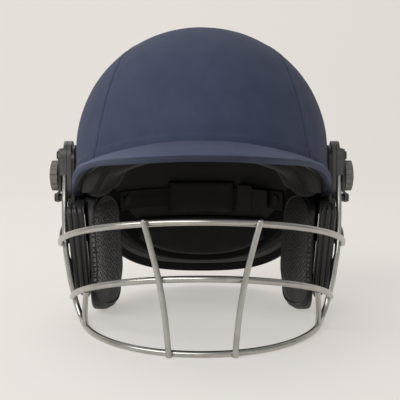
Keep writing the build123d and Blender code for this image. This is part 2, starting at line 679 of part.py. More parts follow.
# Ear guard
guard_plane = Plane(
    origin=(-GUARD_FACE_X, 0, GUARD_Z),
    x_dir=(0, -1, 0),
    z_dir=(-math.cos(math.radians(GUARD_LEAN)), 0, -math.sin(math.radians(GUARD_LEAN))),
)
guard_corners = [(u * GUARD_HALF_WIDTH, v * GUARD_HALF_HEIGHT) for u, v in GUARD_CORNER_SHARES]
guard_radii = [share * GUARD_HALF_WIDTH for share in GUARD_RADIUS_SHARES]


def guard_step(depth, thickness, inset):
    """One step of the ear guard: its outline set in, from a depth below its face."""
    with BuildPart() as step:
        with BuildSketch(guard_plane.offset(-depth)):
            with BuildLine():
                FilletPolyline(*guard_corners, radius=guard_radii, close=True)
            make_face()
            if inset:
                offset(amount=-inset, mode=Mode.REPLACE)
        extrude(amount=-thickness)
    return step.part


with BuildPart() as guard_post:
    with BuildSketch(guard_plane.offset(-GUARD_WALL / 2)):
        with Locations(*[(u * GUARD_HALF_WIDTH, v * GUARD_HALF_HEIGHT) for u, v in GUARD_POST_SHARES]):
            Circle(POST_DIAMETER / 2)
    extrude(amount=GUARD_WALL / 2 - POST_REACH)

slot_half = LOWER_SHANK / 2 + SLOT_PLAY
with BuildPart() as arc_slot:
    with BuildSketch(Plane.YZ.offset(-LUG_X)):
        with BuildLine(mode=Mode.PRIVATE):
            slot_arc = CenterArc((0, PIVOT_Z), LOWER_DROP, -RIGHT_ANGLE, -GRILLE_TRAVEL)
        SlotArc(slot_arc, 2 * slot_half)
    extrude(amount=LUG_X - LOWER_SHANK_END_X)

with BuildPart() as ear_guard:
    for start, end, inset in GUARD_TIER_SHARES:
        add(guard_step(start * GUARD_DEPTH, (end - start) * GUARD_DEPTH, inset * GUARD_STEP))
    for start, end, inset in GUARD_TIER_SHARES:
        hollow = guard_step(
            start * GUARD_DEPTH + GUARD_WALL, (end - start) * GUARD_DEPTH, inset * GUARD_STEP + GUARD_WALL
        )
        add(hollow, mode=Mode.SUBTRACT)
    with BuildSketch(guard_plane.offset(-GUARD_OPEN_DEPTH)):
        with Locations((-GUARD_OPEN_Y, 0)):
            Rectangle(FAR, FAR, align=(Align.MAX, Align.CENTER))
    extrude(amount=-FAR / 2, mode=Mode.SUBTRACT)
    add(guard_post.part)
    with BuildPart(mode=Mode.PRIVATE) as guard_lip:
        add(guard_step(GUARD_DEPTH - OVERRUN, GUARD_LIP + OVERRUN, 0))
        hollow = guard_step(GUARD_DEPTH - 2 * OVERRUN, GUARD_LIP + 3 * OVERRUN, GUARD_WALL)
        add(hollow, mode=Mode.SUBTRACT)
        add(block(-FAR, 0, -FAR, -GUARD_LIP_Y, -FAR, FAR), mode=Mode.INTERSECT)
    add(guard_lip.part)
    envelope = dome_solid(-BINDING_COVER - ENVELOPE_GAP)
    with BuildPart(mode=Mode.PRIVATE) as shell_space:
        add(envelope)
        add(above_rim(SHELL_RIM_SHARES, -ENVELOPE_GAP), mode=Mode.INTERSECT)
    add(shell_space.part, mode=Mode.SUBTRACT)
    tab_foot = GUARD_Z + GUARD_HALF_HEIGHT - TAB_OVERLAP
    add(x_plate(TAB_X, TAB_THICKNESS, FIXING_WIDTH, tab_foot, FIXING_TOP_Z - TAB_TOP_SETBACK))
    stem_top = PIVOT_Z - BASE_DROP - STACK_GAP
    half_stem = FIXING_WIDTH / 2
    add(block(-TAB_X - GUARD_STEM_REACH, -TAB_X, -half_stem, half_stem, stem_top - GUARD_STEM_DROP, stem_top))
    with BuildSketch(guard_plane):
        with Locations(*[(u * GUARD_HALF_WIDTH, v * GUARD_HALF_HEIGHT) for u, v in GUARD_RIB_SHARES]):
            SlotOverall(RIB_LENGTH, RIB_WIDTH, rotation=RIGHT_ANGLE)
    extrude(amount=RIB_HEIGHT)
    with BuildSketch(guard_plane):
        with Locations(*[(u * GUARD_HALF_WIDTH, v * GUARD_HALF_HEIGHT) for u, v in HEARING_SLOT_SHARES]):
            SlotOverall(HEARING_SLOT_LENGTH, HEARING_SLOT, rotation=RIGHT_ANGLE)
    extrude(amount=-2 * GUARD_WALL, mode=Mode.SUBTRACT)
    add(arc_slot.part, mode=Mode.SUBTRACT)
    add(bolt_hole, mode=Mode.SUBTRACT)
finish_pair(ear_guard.part, "ear_guard")

with BuildPart() as pad_patches:
    with BuildSketch(guard_plane.offset(-POST_REACH - LAYER_GAP)):
        with Locations(*[(u * GUARD_HALF_WIDTH, v * GUARD_HALF_HEIGHT) for u, v in GUARD_POST_SHARES]):
            Circle(PATCH_DIAMETER / 2)
    extrude(amount=-PATCH_THICKNESS)
finish_pair(pad_patches.part, "pad_patches")

# Ear pad
pad_back = POST_REACH + LAYER_GAP + PATCH_THICKNESS + PAD_BACK_GAP
with BuildPart() as ear_pad:
    for station, outer, inner, foot, head in PAD_SHARES:
        width = (inner - outer) * PAD_DEPTH
        middle_x = -PAD_OUTER + (inner + outer) / 2 * PAD_DEPTH
        height = (head - foot) * PAD_TOP_Z
        corner = min(PAD_CORNER, width * PAD_CORNER_LIMIT)
        with BuildSketch(Plane.XZ.offset(-station * PAD_LENGTH)):
            with Locations((middle_x, (foot + head) / 2 * PAD_TOP_Z)):
                RectangleRounded(width, height, corner, rotation=GUARD_LEAN)
    loft()
    with BuildSketch(guard_plane.offset(-pad_back)):
        Rectangle(2 * FAR, 2 * FAR)
    extrude(amount=FAR, mode=Mode.SUBTRACT)
    add(block(-FAR, 0, -FAR, FAR, 0, FAR), mode=Mode.INTERSECT)
finish_pair(ear_pad.part, "ear_pad")

# Lower screw
with BuildPart() as grille_lug:
    with BuildSketch(Plane.YZ.offset(-LUG_X - LUG_THICKNESS)):
        with BuildLine():
            Polyline(
                (-LUG_TOP_REACH, LOWER_Z + LUG_WIDTH / 2),
                (0, LOWER_Z + LUG_WIDTH / 2),
                (0, LOWER_Z - LUG_WIDTH / 2),
                (-LUG_FOOT_REACH, LOWER_Z - LUG_WIDTH / 2),
                close=True,
            )
        make_face()
        with Locations((0, LOWER_Z)):
            Circle(LUG_WIDTH / 2)
    extrude(amount=LUG_THICKNESS)
    add(x_rod(0, FAR, LOWER_SHANK + 2 * FIT_GAP, z=LOWER_Z), mode=Mode.SUBTRACT)
finish_pair(grille_lug.part, "grille_lug")

lower_head_x = LUG_X + LUG_THICKNESS + FIT_GAP
with BuildPart() as lower_screw:
    add(x_rod(lower_head_x, lower_head_x + LOWER_HEAD_HEIGHT, LOWER_HEAD_DIAMETER, z=LOWER_Z))
    head_radius = ((LOWER_HEAD_DIAMETER / 2) ** 2 + LOWER_HEAD_CROWN**2) / (2 * LOWER_HEAD_CROWN)
    with Locations((head_radius - lower_head_x - LOWER_HEAD_HEIGHT, 0, LOWER_Z)):
        Sphere(head_radius, mode=Mode.INTERSECT)
    add(x_rod(LOWER_SHANK_END_X, lower_head_x + FIT_GAP, LOWER_SHANK, z=LOWER_Z))
finish_pair(lower_screw.part, "lower_screw")

with BuildPart() as lower_washer:
    washer_x = LUG_X - FIT_GAP
    add(x_rod(washer_x - WASHER_THICKNESS, washer_x, WASHER_DIAMETER, z=LOWER_Z))
    add(x_rod(0, FAR, LOWER_SHANK + 2 * FIT_GAP, z=LOWER_Z), mode=Mode.SUBTRACT)
finish_pair(lower_washer.part, "lower_washer")

with BuildPart() as lower_nut:
    nut_x = LOWER_SHANK_END_X + LOWER_NUT_GAP
    with BuildSketch(Plane.YZ.offset(-nut_x - LOWER_NUT_HEIGHT)):
        with Locations((0, LOWER_Z)):
            RegularPolygon(LOWER_NUT_WIDTH / 2, 6, major_radius=False)
            Circle(LOWER_SHANK / 2 + FIT_GAP, mode=Mode.SUBTRACT)
    extrude(amount=LOWER_NUT_HEIGHT)
finish_pair(lower_nut.part, "lower_nut")


# Chin strap, its cup and buckle
def band(inset, thickness, height, x_from, x_to):
    """A length of the band that follows the inside of the nape, between two places across it."""
    space = block(x_from, x_to, STRAP_START_Y, FAR, STRAP_Z - height / 2, STRAP_Z + height / 2)
    return wall(inset, inset + thickness, space)


strap_split = STRAP_END_X - STRAP_END_GAP
with BuildPart() as strap_left:
    add(band(STRAP_INSET, STRAP_THICKNESS, STRAP_WIDTH, -FAR, strap_split))
    add(rivet_hole.part, mode=Mode.SUBTRACT)
finish(strap_left.part, "chin_strap_left")

with BuildPart() as strap_right:
    add(band(STRAP_INSET, STRAP_THICKNESS, STRAP_WIDTH, STRAP_END_X, FAR))
    add(rivet_hole.part, mode=Mode.SUBTRACT)
finish(strap_right.part, "chin_strap_right")

cup_inset = STRAP_INSET + STRAP_THICKNESS + SOFT_GAP
finish(band(cup_inset, CUP_THICKNESS, CUP_HEIGHT, -CUP_HALF_LENGTH, CUP_HALF_LENGTH), "chin_cup")
finish(band(cup_inset, BUCKLE_THICKNESS, BUCKLE_HEIGHT, STRAP_END_X - BUCKLE_LENGTH, STRAP_END_X), "buckle_body")
tongue_x = STRAP_END_X + SOFT_GAP
finish(band(cup_inset, BUCKLE_THICKNESS, STRAP_WIDTH, tongue_x, tongue_x + BUCKLE_LENGTH), "buckle_tongue")
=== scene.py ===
"""Cricket helmet on a pale floor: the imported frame, dressed with cloth, padding, wire and moulded parts."""

import logging
import math
from collections.abc import Callable, Sequence
from dataclasses import dataclass
from enum import Enum
from functools import cache, partial

import bmesh
import bpy
from mathutils import Matrix, Vector, noise
from mathutils.bvhtree import BVHTree
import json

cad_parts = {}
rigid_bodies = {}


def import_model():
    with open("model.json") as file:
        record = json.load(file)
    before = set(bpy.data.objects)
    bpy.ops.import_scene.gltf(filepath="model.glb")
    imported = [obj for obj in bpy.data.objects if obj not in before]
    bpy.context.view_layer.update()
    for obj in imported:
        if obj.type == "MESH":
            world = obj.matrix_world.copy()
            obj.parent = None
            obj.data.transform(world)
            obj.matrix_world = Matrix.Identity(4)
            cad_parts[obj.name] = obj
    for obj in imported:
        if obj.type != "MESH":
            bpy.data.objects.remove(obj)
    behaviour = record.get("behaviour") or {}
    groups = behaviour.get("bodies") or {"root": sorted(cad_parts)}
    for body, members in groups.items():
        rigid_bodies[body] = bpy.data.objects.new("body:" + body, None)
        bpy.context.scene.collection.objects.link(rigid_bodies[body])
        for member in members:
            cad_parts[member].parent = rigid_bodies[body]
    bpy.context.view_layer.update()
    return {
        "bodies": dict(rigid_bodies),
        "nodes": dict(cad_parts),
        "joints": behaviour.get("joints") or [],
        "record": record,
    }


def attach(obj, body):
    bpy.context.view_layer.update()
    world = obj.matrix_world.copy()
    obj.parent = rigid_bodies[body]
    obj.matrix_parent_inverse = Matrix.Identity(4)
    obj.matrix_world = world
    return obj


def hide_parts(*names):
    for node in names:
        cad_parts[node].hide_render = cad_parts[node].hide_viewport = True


log = logging.getLogger("cricket_helmet")

MM = 0.001
# The footprint's middle stands over the origin, which puts the pivots' axis this far behind it.
STAND_Y = 12.785 * MM
# Each ear guard is a flat plate: its place at the height of its middle, and how far its foot leans in.
GUARD_X = 111.3 * MM
GUARD_Z = 58 * MM
GUARD_LEAN = math.radians(3)

Place = Callable[[float, float], Vector]
DeepPlace = Callable[[float, float, float], Vector]
Shape = bmesh.types.BMesh
Socket = bpy.types.NodeSocket
Material = bpy.types.Material
Thing = bpy.types.Object


class Side(Enum):
    """A side of the helmet as seen from the front, and the sign of its X."""

    LEFT = -1
    RIGHT = 1

    @property
    def label(self) -> str:
        """The side's name as it ends a node's name."""
        return self.name.lower()


class End(Enum):
    """An end of the helmet."""

    FRONT = "front"
    REAR = "rear"


class Rim(Enum):
    """A lower edge that follows the dome."""

    SHELL = "shell"
    LINER = "liner"


class Body(Enum):
    """The bodies of the frame that carry new pieces."""

    HELMET = "helmet"
    GRILLE = "grille"


# ---- Curves and shapes


def solve(value: Callable[[float], float], low: float, high: float) -> float:
    """Finds where a rising value crosses zero.

    Args:
        value: the function, negative at low and positive at high.
        low: lower end.
        high: upper end.

    Returns:
        The crossing, to about a millionth of the span.
    """
    for _ in range(22):
        middle = (low + high) / 2
        if value(middle) < 0:
            low = middle
        else:
            high = middle
    return (low + high) / 2


def smooth_step(value: float, start: float, end: float) -> float:
    """Rises smoothly from 0 at start to 1 at end."""
    share = min(max((value - start) / (end - start), 0.0), 1.0)
    return share * share * (3 - 2 * share)


def bell(value: float, middle: float, width: float) -> float:
    """A bell curve: 1 at its middle and falling away over its width."""
    return math.exp(-(((value - middle) / width) ** 2))


def signed_power(value: float, power: float) -> float:
    """Raises a value's size to a power and keeps its sign."""
    return math.copysign(abs(value) ** power, value)


def smooth_curve(knots: Sequence[float], values: Sequence[float], share: float) -> float:
    """Reads the smooth curve through some values.

    Args:
        knots: where each value stands, rising.
        values: the values.
        share: where the curve is read.

    Returns:
        The curve's value there.
    """
    last = len(knots) - 1
    start = max((index for index in range(last) if knots[index] <= share), default=0)

    def slope(index: int) -> float:
        """The curve's slope at one of its knots."""
        low, high = max(index - 1, 0), min(index + 1, last)
        return (values[high] - values[low]) / (knots[high] - knots[low])

    width = knots[start + 1] - knots[start]
    step = (share - knots[start]) / width
    return (
        values[start] * (1 + 2 * step) * (1 - step) ** 2
        + values[start + 1] * step**2 * (3 - 2 * step)
        + slope(start) * width * step * (1 - step) ** 2
        - slope(start + 1) * width * step**2 * (1 - step)
    )


def through(points: Sequence[Sequence[float]], share: float, knots: Sequence[float] | None = None) -> Vector:
    """Reads the smooth curve through some points.

    Args:
        points: the points, or rows of any other values.
        share: from 0 at the first point to 1 at the last.
        knots: each point's share, or nothing where they are evenly spaced.

    Returns:
        The curve's point.
    """
    knots = knots or [index / (len(points) - 1) for index in range(len(points))]
    share = min(max(share, 0.0), 1.0)
    return Vector([smooth_curve(knots, values, share) for values in zip(*points)])


def run_length(place: Callable[[float], Vector], steps: int) -> float:
    """The length of a line that a function gives for shares from 0 to 1, measured in straight steps."""
    return sum((place((step + 1) / steps) - place(step / steps)).length for step in range(steps))


def tree_of(thing: Thing) -> BVHTree:
    """The search tree of an object's faces."""
    return BVHTree.FromPolygons(
        [v.co for v in thing.data.vertices], [p.vertices for p in thing.data.polygons]
    )


def lay_grid(
    shape: Shape, columns: int, rows: int, place: Place, size: tuple[float, float] = (1.0, 1.0)
) -> None:
    """Adds a grid to a shape and lays it over a surface.

    Args:
        shape: the bmesh that takes the grid.
        columns: faces across.
        rows: faces along.
        place: gives the point for two shares from 0 to 1.
        size: the surface's real width and length in metres, for its UV map.
    """
    uv = shape.loops.layers.uv.verify()
    made = bmesh.ops.create_grid(shape, x_segments=columns, y_segments=rows, size=0.5)
    for vert in made["verts"]:
        across, along = vert.co.x + 0.5, vert.co.y + 0.5
        for loop in vert.link_loops:
            loop[uv].uv = (across * size[0], along * size[1])
        vert.co = place(across, along)


def lay_tube(
    shape: Shape, path: Sequence[Vector], radii: Sequence[float], sides: int, closed: bool = False
) -> None:
    """Adds a round tube along a path.

    Args:
        shape: the bmesh that takes it.
        path: the points of its middle line.
        radii: the tube's radius at each point.
        sides: faces round it.
        closed: whether the path ends where it starts.
    """
    steps = len(path) if closed else len(path) - 1
    rings: dict[int, tuple[Vector, Vector, Vector]] = {}
    across = Vector((0.3, 0.2, 1.0))
    for step in range(steps + 1):
        after = path[(step + 1) % len(path)] if closed else path[min(step + 1, steps)]
        before = path[step - 1] if closed else path[max(step - 1, 0)]
        along = (after - before).normalized()
        across = (across - along * across.dot(along)).normalized()
        radius = radii[step % len(path)]
        rings[step] = (path[step % len(path)], across * radius, along.cross(across) * radius)
    if closed:
        rings[steps] = rings[0]

    def place(share: float, around: float) -> Vector:
        """Finds a point of the tube.

        Args:
            share: its share of the path.
            around: its share of the girth.

        Returns:
            The point.
        """
        spot, first, second = rings[round(share * steps)]
        turn = math.tau * around
        return spot + first * math.cos(turn) + second * math.sin(turn)

    lay_grid(shape, steps, sides, place, (0.3, 0.005))
    close_up(shape, 0.005 * MM)


def close_up(shape: Shape, gap: float = 0.02 * MM) -> None:
    """Joins a shape's meeting edges and turns its faces outwards."""
    bmesh.ops.remove_doubles(shape, verts=shape.verts, dist=gap)
    bmesh.ops.recalc_face_normals(shape, faces=shape.faces)


def place_thing(name: str, shape: Shape, materials: Sequence[Material]) -> Thing:
    """Turns a shape into an object with smooth faces.

    Args:
        name: the object's name.
        shape: its bmesh, which is freed.
        materials: its finishes, in the order of their numbers on the faces.

    Returns:
        The new object.
    """
    for face in shape.faces:
        face.smooth = True
    mesh = bpy.data.meshes.new(name)
    shape.to_mesh(mesh)
    shape.free()
    for material in materials:
        mesh.materials.append(material)
    thing = bpy.data.objects.new(name, mesh)
    bpy.context.scene.collection.objects.link(thing)
    log.info("%s: %d faces", name, len(mesh.polygons))
    return thing


def place_piece(
    name: str, shape: Shape, materials: Sequence[Material], node: str = "",
    body: Body = Body.HELMET
) -> Thing:
    """Turns a shape into a piece of the helmet.

    Args:
        name: the piece's name.
        shape: its bmesh, which is freed.
        materials: its finishes, as for place_thing.
        node: the frame node that it stands for, or nothing.
        body: the body that it rides on.

    Returns:
        The new piece.
    """
    piece = place_thing(name, shape, materials)
    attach(piece, body.value)
    if node:
        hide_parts(node)
    return piece


def thicken(piece: Thing, thickness: float, offset: float) -> None:
    """Gives a sheet its thickness.

    Args:
        piece: the sheet.
        thickness: in metres.
        offset: -1 for behind its faces, 1 for in front of them.
    """
    wall = piece.modifiers.new("thickness", "SOLIDIFY")
    wall.thickness = thickness
    wall.offset = offset


def dress(frame: dict, name: str, material: Material) -> None:
    """Gives a frame node its finish.

    Args:
        frame: the loaded frame.
        name: the node.
        material: its finish.
    """
    mesh = frame["nodes"][name].data
    mesh.materials.clear()
    mesh.materials.append(material)
    log.info("%s: %s", name, material.name)


# ---- Finishes


def linear(hex_colour: str) -> tuple[float, float, float, float]:
    """Turns an sRGB hex colour into linear light.

    Args:
        hex_colour: six hex digits.

    Returns:
        Red, green, blue and an alpha of one.
    """
    channels = [int(hex_colour[i : i + 2], 16) / 255 for i in (0, 2, 4)]
    light = [c / 12.92 if c <= 0.04045 else ((c + 0.055) / 1.055) ** 2.4 for c in channels]
    return (light[0], light[1], light[2], 1.0)


def wave_scale(period: float) -> float:
    """The scale at which a wave texture repeats once in a distance, in metres."""
    return math.pi / (10 * period)


class Shading:
    """One material in the making."""

    def __init__(self, name: str) -> None:
        """Starts the material with its shader, its output and the object's own coordinates.

        Args:
            name: the finish's plain name.
        """
        self.material = bpy.data.materials.new(name)
        self.material.use_nodes = True
        self.tree = self.material.node_tree
        self.tree.nodes.clear()
        self.shader = self.tree.nodes.new("ShaderNodeBsdfPrincipled")
        output = self.tree.nodes.new("ShaderNodeOutputMaterial")
        self.tree.links.new(self.shader.outputs["BSDF"], output.inputs["Surface"])
        self.where = self.add("ShaderNodeTexCoord", output="Object")

    def plug(self, node: bpy.types.Node, inputs: dict) -> None:
        """Sets some inputs of a node.

        Args:
            node: the node.
            inputs: sockets by name or number, each a value, a hex colour or another node's output socket.
        """
        for name, value in inputs.items():
            if isinstance(value, bpy.types.NodeSocket):
                self.tree.links.new(value, node.inputs[name])
            else:
                node.inputs[name].default_value = linear(value) if isinstance(value, str) else value

    def add(
        self, kind: str, inputs: dict | None = None, settings: dict | None = None, output: str | int = 0
    ) -> Socket:
        """Adds a node with its settings and links.

        Args:
            kind: the node's type name.
            inputs: as for plug.
            settings: properties to set on the node.
            output: the output that is wanted, by name or number.

        Returns:
            The output's socket.
        """
        made = self.tree.nodes.new(kind)
        for name, value in (settings or {}).items():
            setattr(made, name, value)
        self.plug(made, inputs or {})
        return made.outputs[output]

    def fade(
        self, axis: str, limits: tuple[float, float], before: str | Socket, after: str | Socket,
        mirrored: bool = False,
    ) -> Socket:
        """Fades one colour into another along the object.

        Args:
            axis: X, Y or Z.
            limits: the places where the fade starts and ends.
            before: the colour before its start.
            after: the colour past its end.
            mirrored: whether it runs alike to both sides of the object's middle.

        Returns:
            The colour's socket.
        """
        place = self.add("ShaderNodeSeparateXYZ", {0: self.where}, output=axis)
        if mirrored:
            place = self.add("ShaderNodeMath", {0: place}, {"operation": "ABSOLUTE"})
        share = self.add("ShaderNodeMapRange", {"Value": place, "From Min": limits[0], "From Max": limits[1]})
        return self.add("ShaderNodeMix", {"Factor": share, 6: before, 7: after}, {"data_type": "RGBA"}, 2)

    def finish(self, inputs: dict) -> Material:
        """Sets the shader's inputs, as for plug, and returns the material."""
        self.plug(self.shader, inputs)
        return self.material


@dataclass(frozen=True)
class WovenFinish:
    """Woven cloth or webbing: matt, with a soft sheen at its edges and a fine crossed weave.

    The threads are drawn coarser than the real ones, which would be too fine to show. Where fade gives two
    heights, the cloth is painted darker below the first and keeps its own colour above the second, as painted
    shade; where a highlight colour is given, it is painted paler to the sides, as a painted highlight.
    """

    name: str
    warp: str
    weft: str
    thread: float = 0.7 * MM
    patch: float = 18.18 * MM
    depth: float = 0.05 * MM
    sheen: float = 0.05
    roughness: float = 0.85
    fade: tuple[float, float] | None = None
    painted_shade: str = "080808"
    painted_highlight: str | None = None
    painted_highlight_from: tuple[float, float] = (25 * MM, 105 * MM)

    def build(self) -> Material:
        """Makes the material.

        Returns:
            The material.
        """
        made = Shading(self.name)
        cloth = made.add("ShaderNodeUVMap")
        bands = [
            made.add(
                "ShaderNodeTexWave",
                {"Vector": cloth, "Scale": wave_scale(self.thread), "Distortion": 0.6, "Detail": 1.0},
                {"wave_type": "BANDS", "bands_direction": direction, "wave_profile": "SIN"},
                "Fac",
            )
            for direction in ("X", "Y")
        ]
        weave = made.add("ShaderNodeMath", {0: bands[0], 1: bands[1]}, {"operation": "MULTIPLY"})
        patches = made.add(
            "ShaderNodeTexNoise",
            {"Vector": made.where, "Scale": 1 / self.patch, "Detail": 4.0, "Roughness": 0.6}
        )
        shade = made.add("ShaderNodeMath", {0: weave, 1: 0.35, 2: patches}, {"operation": "MULTIPLY_ADD"})
        share = made.add("ShaderNodeMapRange", {"Value": shade, "From Min": 0.25, "From Max": 1.05})
        tint = made.add(
            "ShaderNodeMix", {"Factor": share, 6: self.weft, 7: self.warp}, {"data_type": "RGBA"}, 2
        )
        # The sides are painted paler, as a painted highlight.
        if self.painted_highlight:
            tint = made.fade("X", self.painted_highlight_from, tint, self.painted_highlight, mirrored=True)
        # Below the given heights the cloth is painted darker, as painted shade.
        if self.fade:
            tint = made.fade("Z", self.fade, self.painted_shade, tint)
        bump = made.add("ShaderNodeBump", {"Strength": 0.5, "Distance": self.depth, "Height": weave})
        return made.finish({
            "Base Color": tint, "Normal": bump, "Roughness": self.roughness, "Sheen Weight": self.sheen,
            "Sheen Roughness": 0.5, "Specular IOR Level": 0.18,
        })


@dataclass(frozen=True)
class MouldedFinish:
    """Moulded plastic, rubber or foam: one dye throughout, a fine cast grain and slightly uneven gloss.

    The grain is drawn coarser than the real one. Where shade gives two places along the helmet, it is painted
    dark in front of the first and keeps its own colour behind the second, as painted shade.
    """

    name: str
    dark: str
    light: str
    roughness: float
    grain: float = 0.8 * MM
    clouds: float = 14.29 * MM
    depth: float = 0.03 * MM
    uneven: float = 0.06
    shade: tuple[float, float] | None = None
    shaded: str = "0B0B0A"

    def build(self) -> Material:
        """Makes the material.

        Returns:
            The material.
        """
        made = Shading(self.name)
        tone = made.add("ShaderNodeTexNoise", {"Vector": made.where, "Scale": 1 / self.clouds, "Detail": 5.0})
        tint = made.add(
            "ShaderNodeMix", {"Factor": tone, 6: self.dark, 7: self.light}, {"data_type": "RGBA"}, 2
        )
        if self.shade:
            tint = made.fade("Y", self.shade, self.shaded, tint)
        grain = made.add("ShaderNodeTexNoise", {"Vector": made.where, "Scale": 1 / self.grain, "Detail": 2.0})
        bump = made.add("ShaderNodeBump", {"Strength": 0.6, "Distance": self.depth, "Height": grain})
        low, high = self.roughness - self.uneven, self.roughness + self.uneven
        gloss = made.add("ShaderNodeMapRange", {"Value": tone, "To Min": low, "To Max": high})
        return made.finish({"Base Color": tint, "Normal": bump, "Roughness": gloss, "IOR": 1.5})


@dataclass(frozen=True)
class LeatheretteFinish:
    """Polyurethane leatherette, embossed: soft gloss over a pebbled grain, with painted shade towards its
    foot.
    """

    name: str
    dark: str
    light: str
    foot: str
    fade: tuple[float, float] = (20 * MM, 98 * MM)
    grain: float = 1.4 * MM
    depth: float = 0.12 * MM
    crease: float = 8.33 * MM

    def build(self) -> Material:
        """Makes the material.

        Returns:
            The material.
        """
        made = Shading(self.name)
        pebbles = made.add(
            "ShaderNodeTexVoronoi", {"Vector": made.where, "Scale": 1 / self.grain}, {"feature": "F1"}
        )
        creases = made.add(
            "ShaderNodeTexNoise", {"Vector": made.where, "Scale": 1 / self.crease, "Detail": 4.0}
        )
        tint = made.add(
            "ShaderNodeMix", {"Factor": creases, 6: self.dark, 7: self.light}, {"data_type": "RGBA"}, 2
        )
        bump = made.add(
            "ShaderNodeBump", {"Strength": 0.35, "Distance": self.depth, "Height": pebbles}, {"invert": True}
        )
        # The colour is painted darker towards the pad's foot, as painted shade.
        return made.finish({
            "Base Color": made.fade("Z", self.fade, self.foot, tint), "Normal": bump, "Roughness": 0.5,
            "Specular IOR Level": 0.3,
        })


@dataclass(frozen=True)
class SpacerMeshFinish:
    """Knitted polyester spacer mesh: rows of small round holes in a matt knit.

    It is painted paler towards its front, as a painted highlight, and darker at its top, as painted shade.
    The holes are drawn about twice as coarse as the real ones, which would be too fine to show.
    """

    name: str
    knit: str
    painted_highlight: str
    hole: str = "060606"
    high: str = "0E0E0D"
    pitch: float = 3.0 * MM
    depth: float = 0.5 * MM
    painted_highlight_span: tuple[float, float] = (-20 * MM + STAND_Y, 4 * MM + STAND_Y)
    shade: tuple[float, float] = (80 * MM, 99 * MM)

    def build(self) -> Material:
        """Makes the material.

        Returns:
            The material.
        """
        made = Shading(self.name)
        turned = made.add(
            "ShaderNodeMapping",
            {"Vector": made.add("ShaderNodeUVMap"), "Rotation": (0.0, 0.0, math.radians(45))}
        )
        cells = made.add(
            "ShaderNodeTexVoronoi", {"Vector": turned, "Scale": 1 / self.pitch, "Randomness": 0.45},
            {"feature": "F1", "voronoi_dimensions": "2D"},
        )
        rim = made.add("ShaderNodeMapRange", {"Value": cells, "From Min": 0.24, "From Max": 0.38})
        # Paler towards the front as a painted highlight, and near-black at the top as painted shade.
        thread = made.fade("Z", self.shade, made.fade("Y", self.painted_highlight_span, self.painted_highlight, self.knit), self.high)
        tint = made.add("ShaderNodeMix", {"Factor": rim, 6: self.hole, 7: thread}, {"data_type": "RGBA"}, 2)
        bump = made.add("ShaderNodeBump", {"Strength": 0.8, "Distance": self.depth, "Height": rim})
        return made.finish({"Base Color": tint, "Normal": bump, "Roughness": 0.8})


@dataclass(frozen=True)
class DrawnWireFinish:
    """Drawn or plated steel: bright satin metal, with slightly dull patches and uneven gloss.

    The draw lines are drawn far coarser than the real ones, which would be too fine to show.
    """

    name: str
    dull: str
    bright: str
    roughness: float
    patch: float = 11.1 * MM
    lines: tuple[float, float, float] = (8.33 * MM, 8.33 * MM, 2.0 * MM)

    def build(self) -> Material:
        """Makes the material.

        Returns:
            The material.
        """
        made = Shading(self.name)
        stretched = made.add(
            "ShaderNodeMapping", {"Vector": made.where, "Scale": [1 / size for size in self.lines]}
        )
        lines = made.add("ShaderNodeTexNoise", {"Vector": stretched, "Scale": 1.0, "Detail": 3.0})
        patches = made.add(
            "ShaderNodeTexNoise", {"Vector": made.where, "Scale": 1 / self.patch, "Detail": 3.0}
        )
        tint = made.add(
            "ShaderNodeMix", {"Factor": patches, 6: self.dull, 7: self.bright}, {"data_type": "RGBA"}, 2
        )
        gloss = made.add(
            "ShaderNodeMapRange",
            {"Value": lines, "To Min": self.roughness - 0.02, "To Max": self.roughness + 0.03}
        )
        return made.finish({"Base Color": tint, "Roughness": gloss, "Metallic": 1.0})


@dataclass(frozen=True)
class FloorFinish:
    """Pale cast acrylic of a light table: matt, and lit softly from beneath to keep the shadows faint."""

    name: str = "pale matt acrylic, lit from beneath"
    colour: str = "B7B3AF"
    glow: float = 0.86
    fibre: float = 10 / 3 * MM
    depth: float = 0.05 * MM

    def build(self) -> Material:
        """Makes the material.

        Returns:
            The material.
        """
        made = Shading(self.name)
        fibre = made.add("ShaderNodeTexNoise", {"Vector": made.where, "Scale": 1 / self.fibre, "Detail": 3.0})
        bump = made.add("ShaderNodeBump", {"Strength": 0.1, "Distance": self.depth, "Height": fibre})
        return made.finish({
            "Base Color": self.colour, "Emission Color": self.colour, "Emission Strength": self.glow,
            "Normal": bump,
            "Roughness": 0.9, "Specular IOR Level": 0.2,
        })


